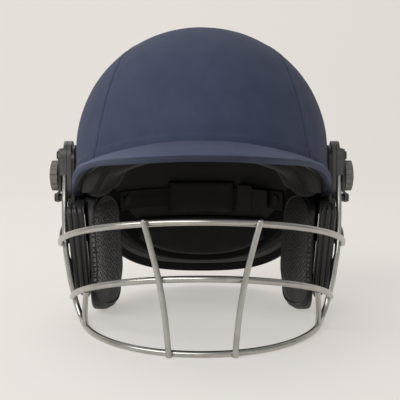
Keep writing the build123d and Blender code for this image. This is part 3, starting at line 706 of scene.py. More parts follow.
class Finishes:
    """Every material of the helmet, made once."""

    def __init__(self) -> None:
        """Makes the materials; each comment says what the real one's making gives the eye."""
        # Navy twill, woven and dyed: matt and softly uneven. On the peak it is paler, with a painted
        # highlight to the sides and painted shadow at its low ends; round the rolled edge and under it the
        # cloth is painted darker, as painted shade.
        navy = {"fade": (107 * MM, 117 * MM), "painted_shade": "10131C"}
        self.navy_cloth = WovenFinish("navy polyester twill", "444B61", "373E53", sheen=0.04).build()
        self.peak_cloth = WovenFinish(
            "navy polyester twill, peak", "4F556C", "43495F", painted_highlight="636A84", **navy
        ).build()
        self.peak_edge = WovenFinish(
            "navy polyester twill, rolled edge", "383D4D", "2D3241", sheen=0.03, painted_highlight="4C5267", **navy
        ).build()
        # Tape, webbing and knit, woven or brushed: blacks and dark greys that give back little light.
        self.binding = WovenFinish("black binding tape", "1E1E1F", "111111", thread=1.3 * MM).build()
        self.webbing = WovenFinish("black nylon webbing", "262625", "1E1E1D", thread=1.6 * MM).build()
        self.padding = WovenFinish("black brushed knit", "2C2C2B", "232322", thread=1.4 * MM).build()
        # The knit is painted near-black towards the foot of the liner's edge roll, as painted shade.
        self.knit = WovenFinish(
            "dark grey brushed knit", "383733", "242321", thread=1.2 * MM, sheen=0.03,
            fade=(110 * MM, 128 * MM)
        ).build()
        self.hook_loop = MouldedFinish(
            "black hook and loop tape", "0E0E0E", "1F1F1F", 0.95, depth=0.3 * MM
        ).build()
        # Moulded foam: dead matt, with coarse cells and no shine; painted dark towards the front, as painted
        # shade.
        self.foam = MouldedFinish(
            "dark grey liner foam", "232322", "30302E", 0.9, 1.6 * MM,
            shade=(-35 * MM + STAND_Y, 18 * MM + STAND_Y)
        ).build()
        # Embossed leatherette and knitted mesh: a soft gloss beside a matt, holed face. The leatherette is
        # painted darker towards its foot as painted shade and lighter above as painted light; the mesh has a
        # painted highlight to its front and painted shade at its top. The right pad's copies are painted
        # darker, as painted shade.
        self.leatherette = {
            Side.LEFT: LeatheretteFinish(
                "black polyurethane leatherette", "3D3B3D", "585557", "100E0B"
            ).build(),
            Side.RIGHT: LeatheretteFinish(
                "black polyurethane leatherette, right pad", "1F1E1F", "2F2D2F", "0A0908"
            ).build(),
        }
        self.mesh = {
            Side.LEFT: SpacerMeshFinish("black knitted spacer mesh", "5A5856", "8A8784").build(),
            Side.RIGHT: SpacerMeshFinish("black knitted spacer mesh, right pad", "333130", "4F4D4B").build(),
        }
        self.piping = MouldedFinish("black leatherette piping", "1B1A1B", "2A292A", 0.55).build()
        # Injection-moulded plastics: the guard's ABS shines a little, nylon plates less, and the knobs least.
        self.guard = MouldedFinish("semi-gloss black ABS", "181817", "262624", 0.36, 0.6 * MM).build()
        self.plate = MouldedFinish("moulded black nylon", "3A3A39", "535250", 0.42).build()
        self.knob = MouldedFinish("matt brown-black nylon", "605B57", "827B76", 0.6, 1.0 * MM).build()
        # Black-oxided steel: so dark that it reads as a coat, not as bare metal.
        self.rivet = MouldedFinish("black oxide rivet steel", "1B1B1B", "242423", 0.8).build()
        self.screw = MouldedFinish("black oxide steel", "121212", "232322", 0.35).build()
        # Bare steel: the drawn wire is bright and satin, its brushed welds duller, the plated nuts smoother.
        self.wire = DrawnWireFinish("satin drawn steel wire", "A19F98", "C8C6C0", 0.29).build()
        self.weld = DrawnWireFinish("brushed weld metal", "7B786F", "A19E94", 0.36).build()
        self.steel = DrawnWireFinish("zinc plated steel", "8A8A88", "C2C2C0", 0.25).build()
        self.floor = FloorFinish().build()


# ---- The dome and what covers it


@dataclass
class Dome:
    """The helmet's dome and skirt, which its cover, binding and padding follow. Lengths are in metres."""

    half_width: float = 107 * MM
    half_length: float = 128 * MM
    rise: float = 104 * MM
    equator_z: float = 142 * MM
    middle_y: float = 5 * MM + STAND_Y
    flare: float = 1.0 * MM
    climb_range: tuple[float, float] = (-1.36, 1.2)
    rim_shares: tuple[tuple[float, float], ...] = (
        (-1.25, 1.062), (-0.961, 1.035), (-0.742, 0.965), (-0.445, 0.873), (-0.234, 0.789), (-0.078, 0.715),
        (0.133, 0.676), (0.336, 0.549), (0.508, 0.387), (0.711, 0.241), (0.859, 0.158), (1.0, 0.106),
        (1.2, 0.06),
    )
    liner_shares: tuple[tuple[float, float], ...] = (
        (-1.25, 1.02), (-0.961, 0.99), (-0.789, 0.958), (-0.633, 0.901), (-0.531, 0.803), (-0.4, 0.768),
        (-0.039, 0.761), (0.156, 0.761), (0.352, 0.634), (0.523, 0.465), (0.711, 0.317), (0.859, 0.232),
        (1.0, 0.183),
        (1.2, 0.14),
    )

    def __post_init__(self) -> None:
        """Sorts each rim's outline into its places along the helmet and its heights."""
        self.outlines = {Rim.SHELL: list(zip(*self.rim_shares)), Rim.LINER: list(zip(*self.liner_shares))}

    def climb_at(self, z: float) -> float:
        """A height's distance from the equator as a share of the dome's rise."""
        return (z - self.equator_z) / self.rise

    def axes(self, climb: float, inset: float) -> tuple[float, float, float]:
        """Sizes the dome's level section.

        Args:
            climb: radians above the equator, or the drop below it as a share of the dome's rise.
            inset: how far inside the cloth.

        Returns:
            Half width, half length and height.
        """
        if climb >= 0:
            shrink = math.cos(climb)
            return (
                (self.half_width - inset) * shrink,
                (self.half_length - inset) * shrink,
                self.equator_z + (self.rise - inset) * math.sin(climb),
            )
        flare = self.flare * -climb * self.rise / self.equator_z
        return (
            self.half_width + flare - inset, self.half_length + flare - inset,
            self.equator_z + climb * self.rise
        )

    def point(self, turn: float, climb: float, inset: float = 0.0) -> Vector:
        """Finds a point on the dome.

        Args:
            turn: radians from straight right, through the rear at a quarter turn.
            climb: as for axes.
            inset: how far inside the cloth.

        Returns:
            The point.
        """
        wide, long, height = self.axes(climb, inset)
        return Vector((wide * math.cos(turn), self.middle_y + long * math.sin(turn), height))

    def side_x(self, y: float, z: float) -> float:
        """Measures half the dome's width.

        Args:
            y: the place along the helmet.
            z: the height.

        Returns:
            The half width there.
        """
        flare = self.flare * max(self.equator_z - z, 0.0) / self.equator_z
        along = (y - self.middle_y) / (self.half_length + flare)
        up = max(self.climb_at(z), 0.0)
        return (self.half_width + flare) * math.sqrt(max(1 - along**2 - up**2, 0.0))

    def outward(self, spot: Vector) -> Vector:
        """The dome's outward direction near a point."""
        rise = (spot.z - self.equator_z) / self.rise**2 if spot.z > self.equator_z else 0.0
        return Vector(
            (spot.x / self.half_width**2, (spot.y - self.middle_y) / self.half_length**2, rise)
        ).normalized()

    def stand_off(self, spot: Vector) -> float:
        """Measures how far a place stands out of the dome's cloth.

        Args:
            spot: the place.

        Returns:
            The distance along the dome's outward direction, negative inside.
        """
        middle = Vector((0.0, self.middle_y, self.equator_z))
        away = spot - middle
        up = max(away.z, 0.0)
        size = math.sqrt(
            (away.x / self.half_width) ** 2 + (away.y / self.half_length) ** 2 + (up / self.rise) ** 2
        )
        cloth = Vector((away.x / size, away.y / size, away.z / size if away.z > 0 else away.z))
        return (away - cloth).dot(self.outward(spot))

    def faces_out(self, shape: Shape) -> bool:
        """Whether most of a shape's faces look away from the dome's middle."""
        return sum(face.normal.dot(self.outward(face.calc_center_median())) for face in shape.faces) > 0

    def edge_height(self, y: float, rim: Rim = Rim.SHELL) -> float:
        """The height of a rim's outline at a place along the helmet."""
        return smooth_curve(*self.outlines[rim], (y - self.middle_y) / self.half_length) * self.equator_z

    def rim_climb(self, turn: float, lift: float = 0.0, rim: Rim = Rim.SHELL, inset: float = 0.0) -> float:
        """Finds where a rim's outline crosses the dome.

        Args:
            turn: as for point.
            lift: how far above the outline.
            rim: the rim.
            inset: how far inside the cloth.

        Returns:
            The climb of the crossing.
        """

        def above(climb: float) -> float:
            """How far the dome's point stands over the outline."""
            spot = self.point(turn, climb, inset)
            return spot.z - lift - self.edge_height(spot.y, rim)

        return solve(above, *self.climb_range)


@dataclass
class ClothCover:
    """The fitted cloth cover: a front and a rear centre panel and two side panels, sewn edge to edge."""

    dome: Dome
    finishes: Finishes
    seam_point: tuple[float, float, float] = (82.2 * MM, -76.8 * MM + STAND_Y, 144.3 * MM)
    seam_lean: tuple[float, float] = (0.079, 0.185)
    seam_slope: float = 1.02
    crown_seam_y: float = 7.6 * MM + STAND_Y
    rim_gap: float = 1.5 * MM
    allowance: float = 6.0 * MM
    allowance_height: float = 0.35 * MM
    allowance_slope: float = 3.0 * MM
    seam_depth: float = 1.4 * MM
    seam_roll: float = 1.1 * MM
    pucker: float = 0.14 * MM
    pucker_reach: tuple[float, float] = (2 * MM, 9 * MM)
    puckers_per_metre: float = 240.0
    drifts: tuple[tuple[float, float], ...] = ((30.0, 0.3 * MM), (90.0, 0.08 * MM))
    gather: float = 0.35
    centre_spacing: float = 1.2
    side_spacing: float = 1.5
    thickness: float = 1.0 * MM
    hem_z: float = 158.3 * MM
    hem_slope: float = 0.295
    hem_start: float = 0.992
    hem_height: float = 1.1 * MM
    hem_step: tuple[float, float] = (-0.5 * MM, 0.6 * MM)
    drop_range: tuple[float, float] = (-0.9, 1.3)
    crown_range: tuple[float, float] = (0.8, 2.4)
    front_cut: tuple[float, float] = (0.175, 0.19)
    rear_cut: tuple[float, float] = (0.175, 0.28)
    side_cut: tuple[float, float] = (0.33, 0.17)

    def seam_x(self, y: float, z: float) -> float:
        """Half the width of the centre panels at a place on the dome."""
        x, seam_y, seam_z = self.seam_point
        return x - self.seam_lean[0] * (y - seam_y) - self.seam_lean[1] * (z - seam_z)

    def centre_point(self, across: float, sweep: float) -> Vector:
        """Finds a point of the centre panels, before its cloth is lifted.

        Args:
            across: from -1 at the left seam to 1 at the right seam.
            sweep: radians from the front over the crown, with the skirt's drop as a share of the dome's rise
                beyond each end.

        Returns:
            The point.
        """
        dome = self.dome
        drop = max(-sweep, sweep - math.pi, 0.0)
        turn = min(max(sweep, 0.0), math.pi)
        wide, long, height = dome.axes(-drop, 0.0)
        spread = 1.0
        x, y, z = 0.0, 0.0, 0.0
        for _ in range(12):
            y = dome.middle_y - long * math.cos(turn) * spread
            z = height if drop else dome.equator_z + dome.rise * math.sin(turn) * spread
            x = across * self.seam_x(y, z)
            spread = math.sqrt(max(1 - (x / wide) ** 2, 0.0001))
        return Vector((x, y, z))

    def rim_sweep(self, across: float, end: End) -> float:
        """Finds where a line of the centre panels meets the rim.

        Args:
            across: as for centre_point.
            end: the end of the helmet.

        Returns:
            The sweep of the meeting point.
        """

        def sweep(drop: float) -> float:
            """The line's sweep for a drop under the equator."""
            return -drop if end is End.FRONT else math.pi + drop

        def above(drop: float) -> float:
            """How far the line's point stands under the edge of the cloth."""
            spot = self.centre_point(across, sweep(drop))
            return self.dome.edge_height(spot.y) + self.rim_gap - spot.z

        return sweep(solve(above, *self.drop_range))

    def crown_sweep(self, across: float) -> float:
        """Where a line of the centre panels meets the crown seam."""
        return solve(lambda sweep: self.centre_point(across, sweep).y - self.crown_seam_y, *self.crown_range)

    def lifted(self, spot: Vector, crown_seam: bool) -> Vector:
        """Moves a spot of the dome out to the cloth's real surface, with its seams, hems and soft unevenness.

        Args:
            spot: the spot.
            crown_seam: whether its panel ends at the crown seam.

        Returns:
            The moved spot.
        """
        dome = self.dome
        to_seam = abs(abs(spot.x) - self.seam_x(spot.y, spot.z)) / self.seam_slope
        if crown_seam:
            to_seam = min(to_seam, abs(spot.y - self.crown_seam_y))
        near_seam = 1 - smooth_step(to_seam, self.allowance - self.allowance_slope, self.allowance)
        roll = 1 - min(to_seam / self.seam_roll, 1.0)
        pucker = noise.noise(spot * self.puckers_per_metre) * self.pucker
        pucker *= 1 - smooth_step(to_seam, *self.pucker_reach)
        front = dome.middle_y - self.hem_start * dome.half_length
        over = spot.z - self.hem_z + self.hem_slope * (spot.y - front)
        hem = self.hem_height * (1 - smooth_step(over, *self.hem_step)) if spot.y < dome.middle_y else 0.0
        drift = sum(noise.noise(spot * per_metre) * height for per_metre, height in self.drifts)
        lift = self.allowance_height * near_seam - self.seam_depth * roll**1.5 + pucker + hem + drift
        return spot + dome.outward(spot) * lift

    def centre_panel(self, end: End) -> Thing:
        """Builds the front or rear centre panel.

        Args:
            end: the end of the helmet that it covers.

        Returns:
            The panel.
        """
        front = end is End.FRONT
        limits = cache(lambda across: (self.rim_sweep(across, end), self.crown_sweep(across)))

        def place(share_across: float, share_along: float) -> Vector:
            """Finds a point of the panel, with closer lines near the seams and the rim.

            Args:
                share_across: from 0 at the left seam to 1 at the right one.
                share_along: from 0 at the rim to 1 at the crown seam.

            Returns:
                The point.
            """
            across = 2 * share_across - 1
            across = (1 + self.gather) * across - self.gather * across**3
            low, high = limits(across)
            along = 1 - (1 - share_along) ** self.centre_spacing
            return self.lifted(self.centre_point(across, low + (high - low) * along), True)

        shape = bmesh.new()
        lay_grid(shape, 170, 130 if front else 180, place, (0.17, 0.18 if front else 0.27))
        return self.finish_panel(
            f"cover_{end.value}_panel", shape, self.front_cut if front else self.rear_cut
        )

    def side_panel(self, side: Side) -> Thing:
        """Builds one side panel, between its seam and the rim.

        Args:
            side: the side that it covers.

        Returns:
            The panel.
        """
        dome = self.dome
        sweeps = [self.rim_sweep(1.0, end) for end in End]
        corners = [self.centre_point(1.0, sweep) for sweep in sweeps]
        turns = [
            math.atan2((spot.y - dome.middle_y) / dome.half_length, spot.x / dome.half_width)
            for spot in corners
        ]

        @cache
        def edges(share: float) -> tuple[Vector, Vector]:
            """Finds the ends of one of the panel's lines.

            Args:
                share: from 0 at the front to 1 at the rear.

            Returns:
                Its end at the rim and its end at the seam.
            """
            turn = turns[0] + (turns[1] - turns[0]) * share
            seam = self.centre_point(1.0, sweeps[0] + (sweeps[1] - sweeps[0]) * share)
            return dome.point(turn, dome.rim_climb(turn, self.rim_gap)), seam

        def place(share_across: float, share_along: float) -> Vector:
            """Finds a point of the panel, with closer lines near the seam.

            Args:
                share_across: from 0 at the front to 1 at the rear.
                share_along: from 0 at the rim to 1 at the seam.

            Returns:
                The point.
            """
            rim, seam = edges(share_across)
            spot = rim.lerp(seam, 1 - (1 - share_along) ** self.side_spacing)
            spot.x = dome.side_x(spot.y, spot.z)
            spot = self.lifted(spot, False)
            spot.x *= side.value
            return spot

        shape = bmesh.new()
        lay_grid(shape, 260, 100, place, (0.26, 0.16))
        bmesh.ops.remove_doubles(shape, verts=shape.verts, dist=0.02 * MM)
        return self.finish_panel(f"cover_side_{side.label}", shape, self.side_cut)

    def finish_panel(self, node: str, shape: Shape, cut: tuple[float, float]) -> Thing:
        """Turns a panel's faces out, and gives it its thickness and cloth.

        Args:
            node: the node that it replaces.
            shape: the panel's bmesh.
            cut: the width and length that its cloth was cut from.

        Returns:
            The panel.
        """
        bmesh.ops.recalc_face_normals(shape, faces=shape.faces)
        if not self.dome.faces_out(shape):
            bmesh.ops.reverse_faces(shape, faces=shape.faces)
        area = sum(face.calc_area() for face in shape.faces)
        panel = place_piece(f"{node}_cloth", shape, [self.finishes.navy_cloth], node)
        log.info("%s: %.4f square metres of %.4f", node, area, cut[0] * cut[1])
        thicken(panel, self.thickness, -1)
        return panel

    def build(self) -> None:
        """Builds the whole cover."""
        for end in End:
            self.centre_panel(end)
        for side in Side:
            self.side_panel(side)


@dataclass
class RimBinding:
    """The black tape folded over the rim of shell and cover, except under the peak, where the cloth is."""

    dome: Dome
    finishes: Finishes
    tape_end_y: float = -26 * MM + STAND_Y
    height: float = 8 * MM
    cover: float = 0.6 * MM
    wall: float = 4.3 * MM
    front_drop: float = 0.72 * MM
    outer_facing: float = 0.4

    def profile(self) -> list[tuple[float, float]]:
        """The tape's fold: how far inside the cloth and how far up, from the outer edge to the inner."""
        outer, inner, top = -self.cover, self.wall + self.cover, self.height
        return [
            (0.3 * MM, top), (outer + 0.2 * MM, top), (outer, top - 0.6 * MM), (outer, top / 2),
            (outer, 1.2 * MM),
            (outer + 0.5 * MM, 0.2 * MM), ((outer + inner) / 2, 0.0), (inner - 0.5 * MM, 0.2 * MM),
            (inner, 1.2 * MM), (inner, top / 2), (inner, top - 0.6 * MM), (inner - 0.4 * MM, top),
            (self.wall - 0.3 * MM, top),
        ]

    def build(self) -> Thing:
        """Builds the tape all round the rim.

        Returns:
            The tape.
        """
        dome, profile = self.dome, self.profile()
        climbs = cache(lambda turn: (dome.rim_climb(turn), dome.rim_climb(turn, self.height)))

        def place(around: float, across: float) -> Vector:
            """Finds a point of the tape.

            Args:
                around: its share of the rim.
                across: its share of the fold.

            Returns:
                The point.
            """
            turn = math.tau * around
            inset, lift = through(profile, across)
            low, high = climbs(turn)
            spot = dome.point(turn, low + (high - low) * lift / self.height, inset)
            if inset < self.wall / 2 and spot.y < self.tape_end_y:
                spot -= dome.outward(spot) * self.front_drop
            return spot

        shape = bmesh.new()
        lay_grid(shape, 420, 30, place, (0.78, 0.02))
        close_up(shape)
        shape.normal_update()
        for face in shape.faces:
            centre = face.calc_center_median()
            outer = face.normal.dot(dome.outward(centre)) > self.outer_facing
            face.material_index = int(outer and centre.y < self.tape_end_y)
        area = sum(face.calc_area() for face in shape.faces)
        reach = run_length(lambda around: place(around, 0.5), 200)
        tape = place_piece(
            "rim_tape", shape, [self.finishes.binding, self.finishes.navy_cloth], "rim_binding"
        )
        log.info("rim tape: %.1f mm wide, %.3f m long", area / reach / MM, reach)
        return tape


@dataclass
class Peak:
    """The short peak: cloth wrapped round a stiff core, with a rolled edge."""

    dome: Dome
    finishes: Finishes
    thickness: float = 4.6 * MM
    flat_share: float = 0.42
    spacing: float = 0.8
    nose: float = 0.6
    puff: float = 0.2 * MM
    drift: float = 0.12 * MM
    drifts_per_metre: float = 60.0
    roll: float = 0.9 * MM
    groove_share: float = 0.9
    roll_place: tuple[float, float] = (0.6 * MM, 1.1 * MM)
    groove_place: tuple[float, float] = (3.4 * MM, 0.8 * MM)
    blend: tuple[float, float] = (-1.2 * MM, 0.6 * MM)
    reach_out: float = 2.5 * MM
    width: float = 0.36
    girth: float = 90 * MM
    edge_from: float = 0.45
    edge_shares: tuple[tuple[float, float, float], ...] = (
        (0.0, -1.289, 1.0), (0.318, -1.219, 0.99), (0.617, -0.945, 0.965), (0.841, -0.617, 0.926),
        (0.944, -0.430, 0.880), (1.009, -0.227, 0.799), (1.015, -0.153, 0.736),
    )
    root_shares: tuple[tuple[float, float, float], ...] = (
        (0.0, -0.961, 1.074), (0.402, -0.875, 1.046), (0.654, -0.711, 1.0), (0.804, -0.531, 0.958),
        (0.888, -0.367, 0.908), (0.951, -0.215, 0.803), (0.961, -0.153, 0.743),
    )

    def __post_init__(self) -> None:
        """Works out the peak's root and edge lines, from left to right."""
        self.root = self.line(self.root_shares)
        self.edge = self.line(self.edge_shares)
        middles = [(inner + outer) / 2 for inner, outer in zip(self.root, self.edge)]
        reach = [0.0]
        for before, after in zip(middles, middles[1:]):
            reach.append(reach[-1] + (after - before).length)
        self.knots = [value / reach[-1] for value in reach]
        self.section_at = cache(self.section)

    def line(self, shares: Sequence[Sequence[float]]) -> list[Vector]:
        """Places one line of the peak.

        Args:
            shares: its right half, as shares of the dome's half width, half length and equator height.

        Returns:
            The whole line's points, from left to right.
        """
        dome = self.dome
        half = [
            Vector((x * dome.half_width, dome.middle_y + y * dome.half_length, z * dome.equator_z))
            for x, y, z in shares
        ]
        return [Vector((-point.x, point.y, point.z)) for point in reversed(half[1:])] + half

    def section(self, span: float) -> tuple[Vector, Vector, Vector]:
        """Cuts the peak across.

        Args:
            span: from 0 at the left end to 1 at the right end.

        Returns:
            The root, the edge and the upward direction there.
        """
        root, edge = through(self.root, span, self.knots), through(self.edge, span, self.knots)
        along = Vector((0.0, 0.0, 0.0))
        for line in (self.root, self.edge):
            along += through(line, span + 0.01, self.knots) - through(line, span - 0.01, self.knots)
        return root, edge, (edge - root).cross(along).normalized()

    def surface(self, span: float, around: float, guide: BVHTree) -> Vector:
        """Finds a point of the wrapped cloth.

        Args:
            span: as for section.
            around: from 0 at the root's top, over the top and round the edge, to 1 at the root's underside.
            guide: the peak's solid surface, which the cloth follows.

        Returns:
            The point.
        """
        root, edge, up = self.section_at(span)
        across = (edge - root).normalized()
        half, flat = self.thickness / 2, self.flat_share
        reach = (edge - root).length - half
        share = (min(around, 1 - around, flat) / flat) ** self.spacing
        out = up if around < flat else -up
        if flat <= around <= 1 - flat:
            turn = math.pi * ((around - flat) / (1 - 2 * flat) - 0.5)
            share = 1.0
            out = across * math.cos(turn) ** self.nose - up * signed_power(math.sin(turn), self.nose)
        surface = root + across * reach * share + out * half
        found = guide.find_nearest(surface + out * self.reach_out)[0]
        surface = surface.lerp(found, smooth_step(self.dome.stand_off(surface), *self.blend))
        swell = self.puff
        if around < 0.5:
            from_edge = reach * (1 - share)
            groove = self.groove_share * bell(from_edge, *self.groove_place)
            swell += self.roll * (bell(from_edge, *self.roll_place) - groove)
        return surface + out * (swell + noise.noise(surface * self.drifts_per_metre) * self.drift)

    def build(self, frame: dict) -> None:
        """Builds the cloth wrap over the peak's solid.

        Args:
            frame: the loaded frame.
        """
        guide = tree_of(frame["nodes"]["peak_cover"])
        shape = bmesh.new()
        lay_grid(
            shape, 260, 84, lambda span, around: self.surface(span, around, guide), (self.width, self.girth)
        )
        close_up(shape)
        uv = shape.loops.layers.uv.verify()
        # Faces round the rolled edge and under the peak take the darker copy of the cloth, as painted shade.
        for face in shape.faces:
            around = sum(loop[uv].uv.y for loop in face.loops) / len(face.loops) / self.girth
            face.material_index = int(around > self.edge_from)
        cloths = [self.finishes.peak_cloth, self.finishes.peak_edge]
        place_piece("peak_cloth", shape, cloths, "peak_cover")


# ---- Padding


@dataclass
class InnerPads:
    """The comfort pads on the inside of the liner, and the chin cup that is stowed at the nape."""

    dome: Dome
    finishes: Finishes
    outer_inset: float = 18.7 * MM
    thickness: float = 5.8 * MM
    back_share: float = 0.04
    edge_power: int = 10
    hump: tuple[float, float] = (0.08, 2.5)
    liner_inset: float = 20 * MM
    seat: float = 1.0 * MM
    brow_reach: float = 55 * MM
    brow_height: float = 35 * MM
    rear_reach: float = 79 * MM
    rear_top_z: float = 73.5 * MM
    crown_radius: float = 41.5 * MM
    side_length: float = 70 * MM
    side_z: tuple[float, float] = (118 * MM, 150 * MM)
    cup_turn: float = 0.375
    cup_z: tuple[float, float] = (77 * MM, 107 * MM)
    cup_inset: float = 20.9 * MM
    cup_thickness: float = 3.9 * MM

    def __post_init__(self) -> None:
        """Prepares the lookup of the liner's edge."""
        dome = self.dome
        self.edge_at = cache(lambda turn, lift: dome.rim_climb(turn, lift, Rim.LINER, self.outer_inset))

    def pad(
        self, name: str, node: str, place: DeepPlace, cells: tuple[int, int], inset: float, thickness: float
    ) -> None:
        """Builds one closed, crowned pad.

        Args:
            name: the piece's name.
            node: the node that it replaces.
            place: gives the point for two shares and an inset.
            cells: faces across and along.
            inset: how far inside the dome's cloth its back lies.
            thickness: its thickness.
        """
        shape = bmesh.new()
        for fullness in (self.back_share, 1.0):

            def crowned(across: float, along: float, full: float = fullness) -> Vector:
                """Finds a point of the pad's flat back or of its crowned front.

                Args:
                    across: its share of the pad's width.
                    along: its share of the pad's height.
                    full: how much of the crown the face has.

                Returns:
                    The point.
                """
                edge = max(abs(2 * across - 1), abs(2 * along - 1))
                height, bend = self.hump
                crown = math.sqrt(max(1 - edge**self.edge_power, 0.0))
                crown *= 1 - height + height * math.cos(bend * (across - 0.5))
                return place(across, along, inset + thickness * crown * full)

            lay_grid(shape, cells[0], cells[1], crowned, (0.15, 0.05))
        close_up(shape, 0.04 * MM)
        place_piece(name, shape, [self.finishes.padding], node)

    def brow(self, across: float, along: float, inset: float) -> Vector:
        """Finds a point of the brow pad.

        Args:
            across: its share of the pad's width.
            along: its share of the pad's height.
            inset: how far inside the dome's cloth.

        Returns:
            The point.
        """
        reach = math.acos(self.brow_reach / (self.dome.half_length - self.liner_inset))
        turn = -math.pi / 2 + reach * (2 * across - 1)
        bottom, top = self.edge_at(turn, self.seat), self.edge_at(turn, self.brow_height)
        return self.dome.point(turn, bottom + (top - bottom) * along, inset)

    def rear(self, across: float, along: float, inset: float) -> Vector:
        """Finds a point of the rear pad, between the liner's edge and the strap.

        Args:
            across: its share of the pad's width.
            along: its share of the pad's height.
            inset: how far inside the dome's cloth.

        Returns:
            The point.
        """
        reach = math.acos(self.rear_reach / (self.dome.half_length - self.liner_inset))
        turn = math.pi / 2 + reach * (2 * across - 1)
        bottom, top = self.edge_at(turn, self.seat), self.dome.climb_at(self.rear_top_z)
        return self.dome.point(turn, bottom + (top - bottom) * along, inset)

    def crown(self, across: float, along: float, inset: float) -> Vector:
        """Finds a point of the round crown pad, a square bent to a disc.

        Args:
            across: its share of the pad's width.
            along: its share of the pad's height.
            inset: how far inside the dome's cloth.

        Returns:
            The point.
        """
        dome = self.dome
        u, v = 2 * across - 1, 2 * along - 1
        x = u * math.sqrt(1 - v * v / 2) * self.crown_radius
        y = v * math.sqrt(1 - u * u / 2) * self.crown_radius
        wide, long, rise = dome.half_width - inset, dome.half_length - inset, dome.rise - inset
        height = math.sqrt(1 - (x / wide) ** 2 - (y / long) ** 2)
        return Vector((x, dome.middle_y + y, dome.equator_z + rise * height))

    def flank(self, side: Side, across: float, along: float, inset: float) -> Vector:
        """Finds a point of a side pad.

        Args:
            side: its side.
            across: its share of the pad's width.
            along: its share of the pad's height.
            inset: how far inside the dome's cloth.

        Returns:
            The point.
        """
        low, high = self.side_z
        turn = math.asin(self.side_length * (across - 0.5) / (self.dome.half_length - inset))
        climb = self.dome.climb_at(low + (high - low) * along)
        spot = self.dome.point(turn, climb if climb < 0 else math.asin(climb), inset)
        return Vector((spot.x * side.value, spot.y, spot.z))

    def cup(self, across: float, along: float, inset: float) -> Vector:
        """Finds a point of the chin cup.

        Args:
            across: its share of the pad's width.
            along: its share of the pad's height.
            inset: how far inside the dome's cloth.

        Returns:
            The point.
        """
        low, high = self.cup_z
        turn = math.pi / 2 + self.cup_turn * (2 * across - 1)
        return self.dome.point(turn, self.dome.climb_at(low + (high - low) * along), inset)

    def build(self) -> None:
        """Builds the brow, rear, crown and side pads and the cup."""
        depth = (self.outer_inset, self.thickness)
        self.pad("brow_cushion", "brow_pad", self.brow, (90, 26), *depth)
        self.pad("rear_cushion", "rear_pad", self.rear, (60, 24), *depth)
        self.pad("crown_cushion", "crown_pad", self.crown, (48, 48), *depth)
        for side in Side:
            flank = partial(self.flank, side)
            self.pad(f"side_cushion_{side.label}", f"side_pad_{side.label}", flank, (50, 26), *depth)
        self.pad("chin_cup_pad", "chin_cup", self.cup, (60, 30), self.cup_inset, self.cup_thickness)


@dataclass
class LinerEdge:
    """The soft roll of knit that finishes the liner's lower edge."""

    dome: Dome
    finishes: Finishes
    outer_inset: float = 8.2 * MM
    inner_inset: float = 18.55 * MM
    drop: float = 3.2 * MM
    outer_rise: float = 3.0 * MM
    inner_rise: float = 22.0 * MM
    outer_share: float = 0.12
    inner_share: float = 0.6
    roundness: float = 0.7
    foot_power: float = 0.8
    front_drop: float = 0.2
    front_turns: tuple[float, float] = (0.35, 0.75)
    drift: float = 0.15 * MM
    drifts_per_metre: float = 70.0

    def build(self) -> Thing:
        """Builds the roll all round the liner.

        Returns:
            The roll.
        """
        dome, start, end = self.dome, self.outer_share, self.inner_share
        middle, half = (self.outer_inset + self.inner_inset) / 2, (self.inner_inset - self.outer_inset) / 2
        climbs = cache(
            lambda turn: [dome.rim_climb(turn, lift, Rim.LINER, middle) for lift in (0.0, self.inner_rise)]
        )

        def place(around: float, across: float) -> Vector:
            """Finds a point of the roll.

            Args:
                around: its share of the rim.
                across: its share of the way down the outer face, round the foot and up the inner face.

            Returns:
                The point.
            """
            turn = math.tau * around
            low, high = climbs(turn)
            if across < start:
                inset, lift = self.outer_inset, self.outer_rise * (1 - across / start)
            elif across > end:
                inset, lift = self.inner_inset, self.inner_rise * (across - end) / (1 - end)
            else:
                bend = math.pi * (across - start) / (end - start)
                inset = middle - half * signed_power(math.cos(bend), self.roundness)
                from_front = abs(math.remainder(turn + math.pi / 2, math.tau))
                full = self.front_drop + (1 - self.front_drop) * smooth_step(from_front, *self.front_turns)
                lift = -self.drop * full * math.sin(bend) ** self.foot_power
            spot = dome.point(turn, low + (high - low) * lift / self.inner_rise, inset)
            return spot + dome.outward(spot) * noise.noise(spot * self.drifts_per_metre) * self.drift

        shape = bmesh.new()
        lay_grid(shape, 420, 44, place, (0.70, 0.04))
        close_up(shape)
        roll = place_piece("liner_edge_roll", shape, [self.finishes.knit])
        return roll


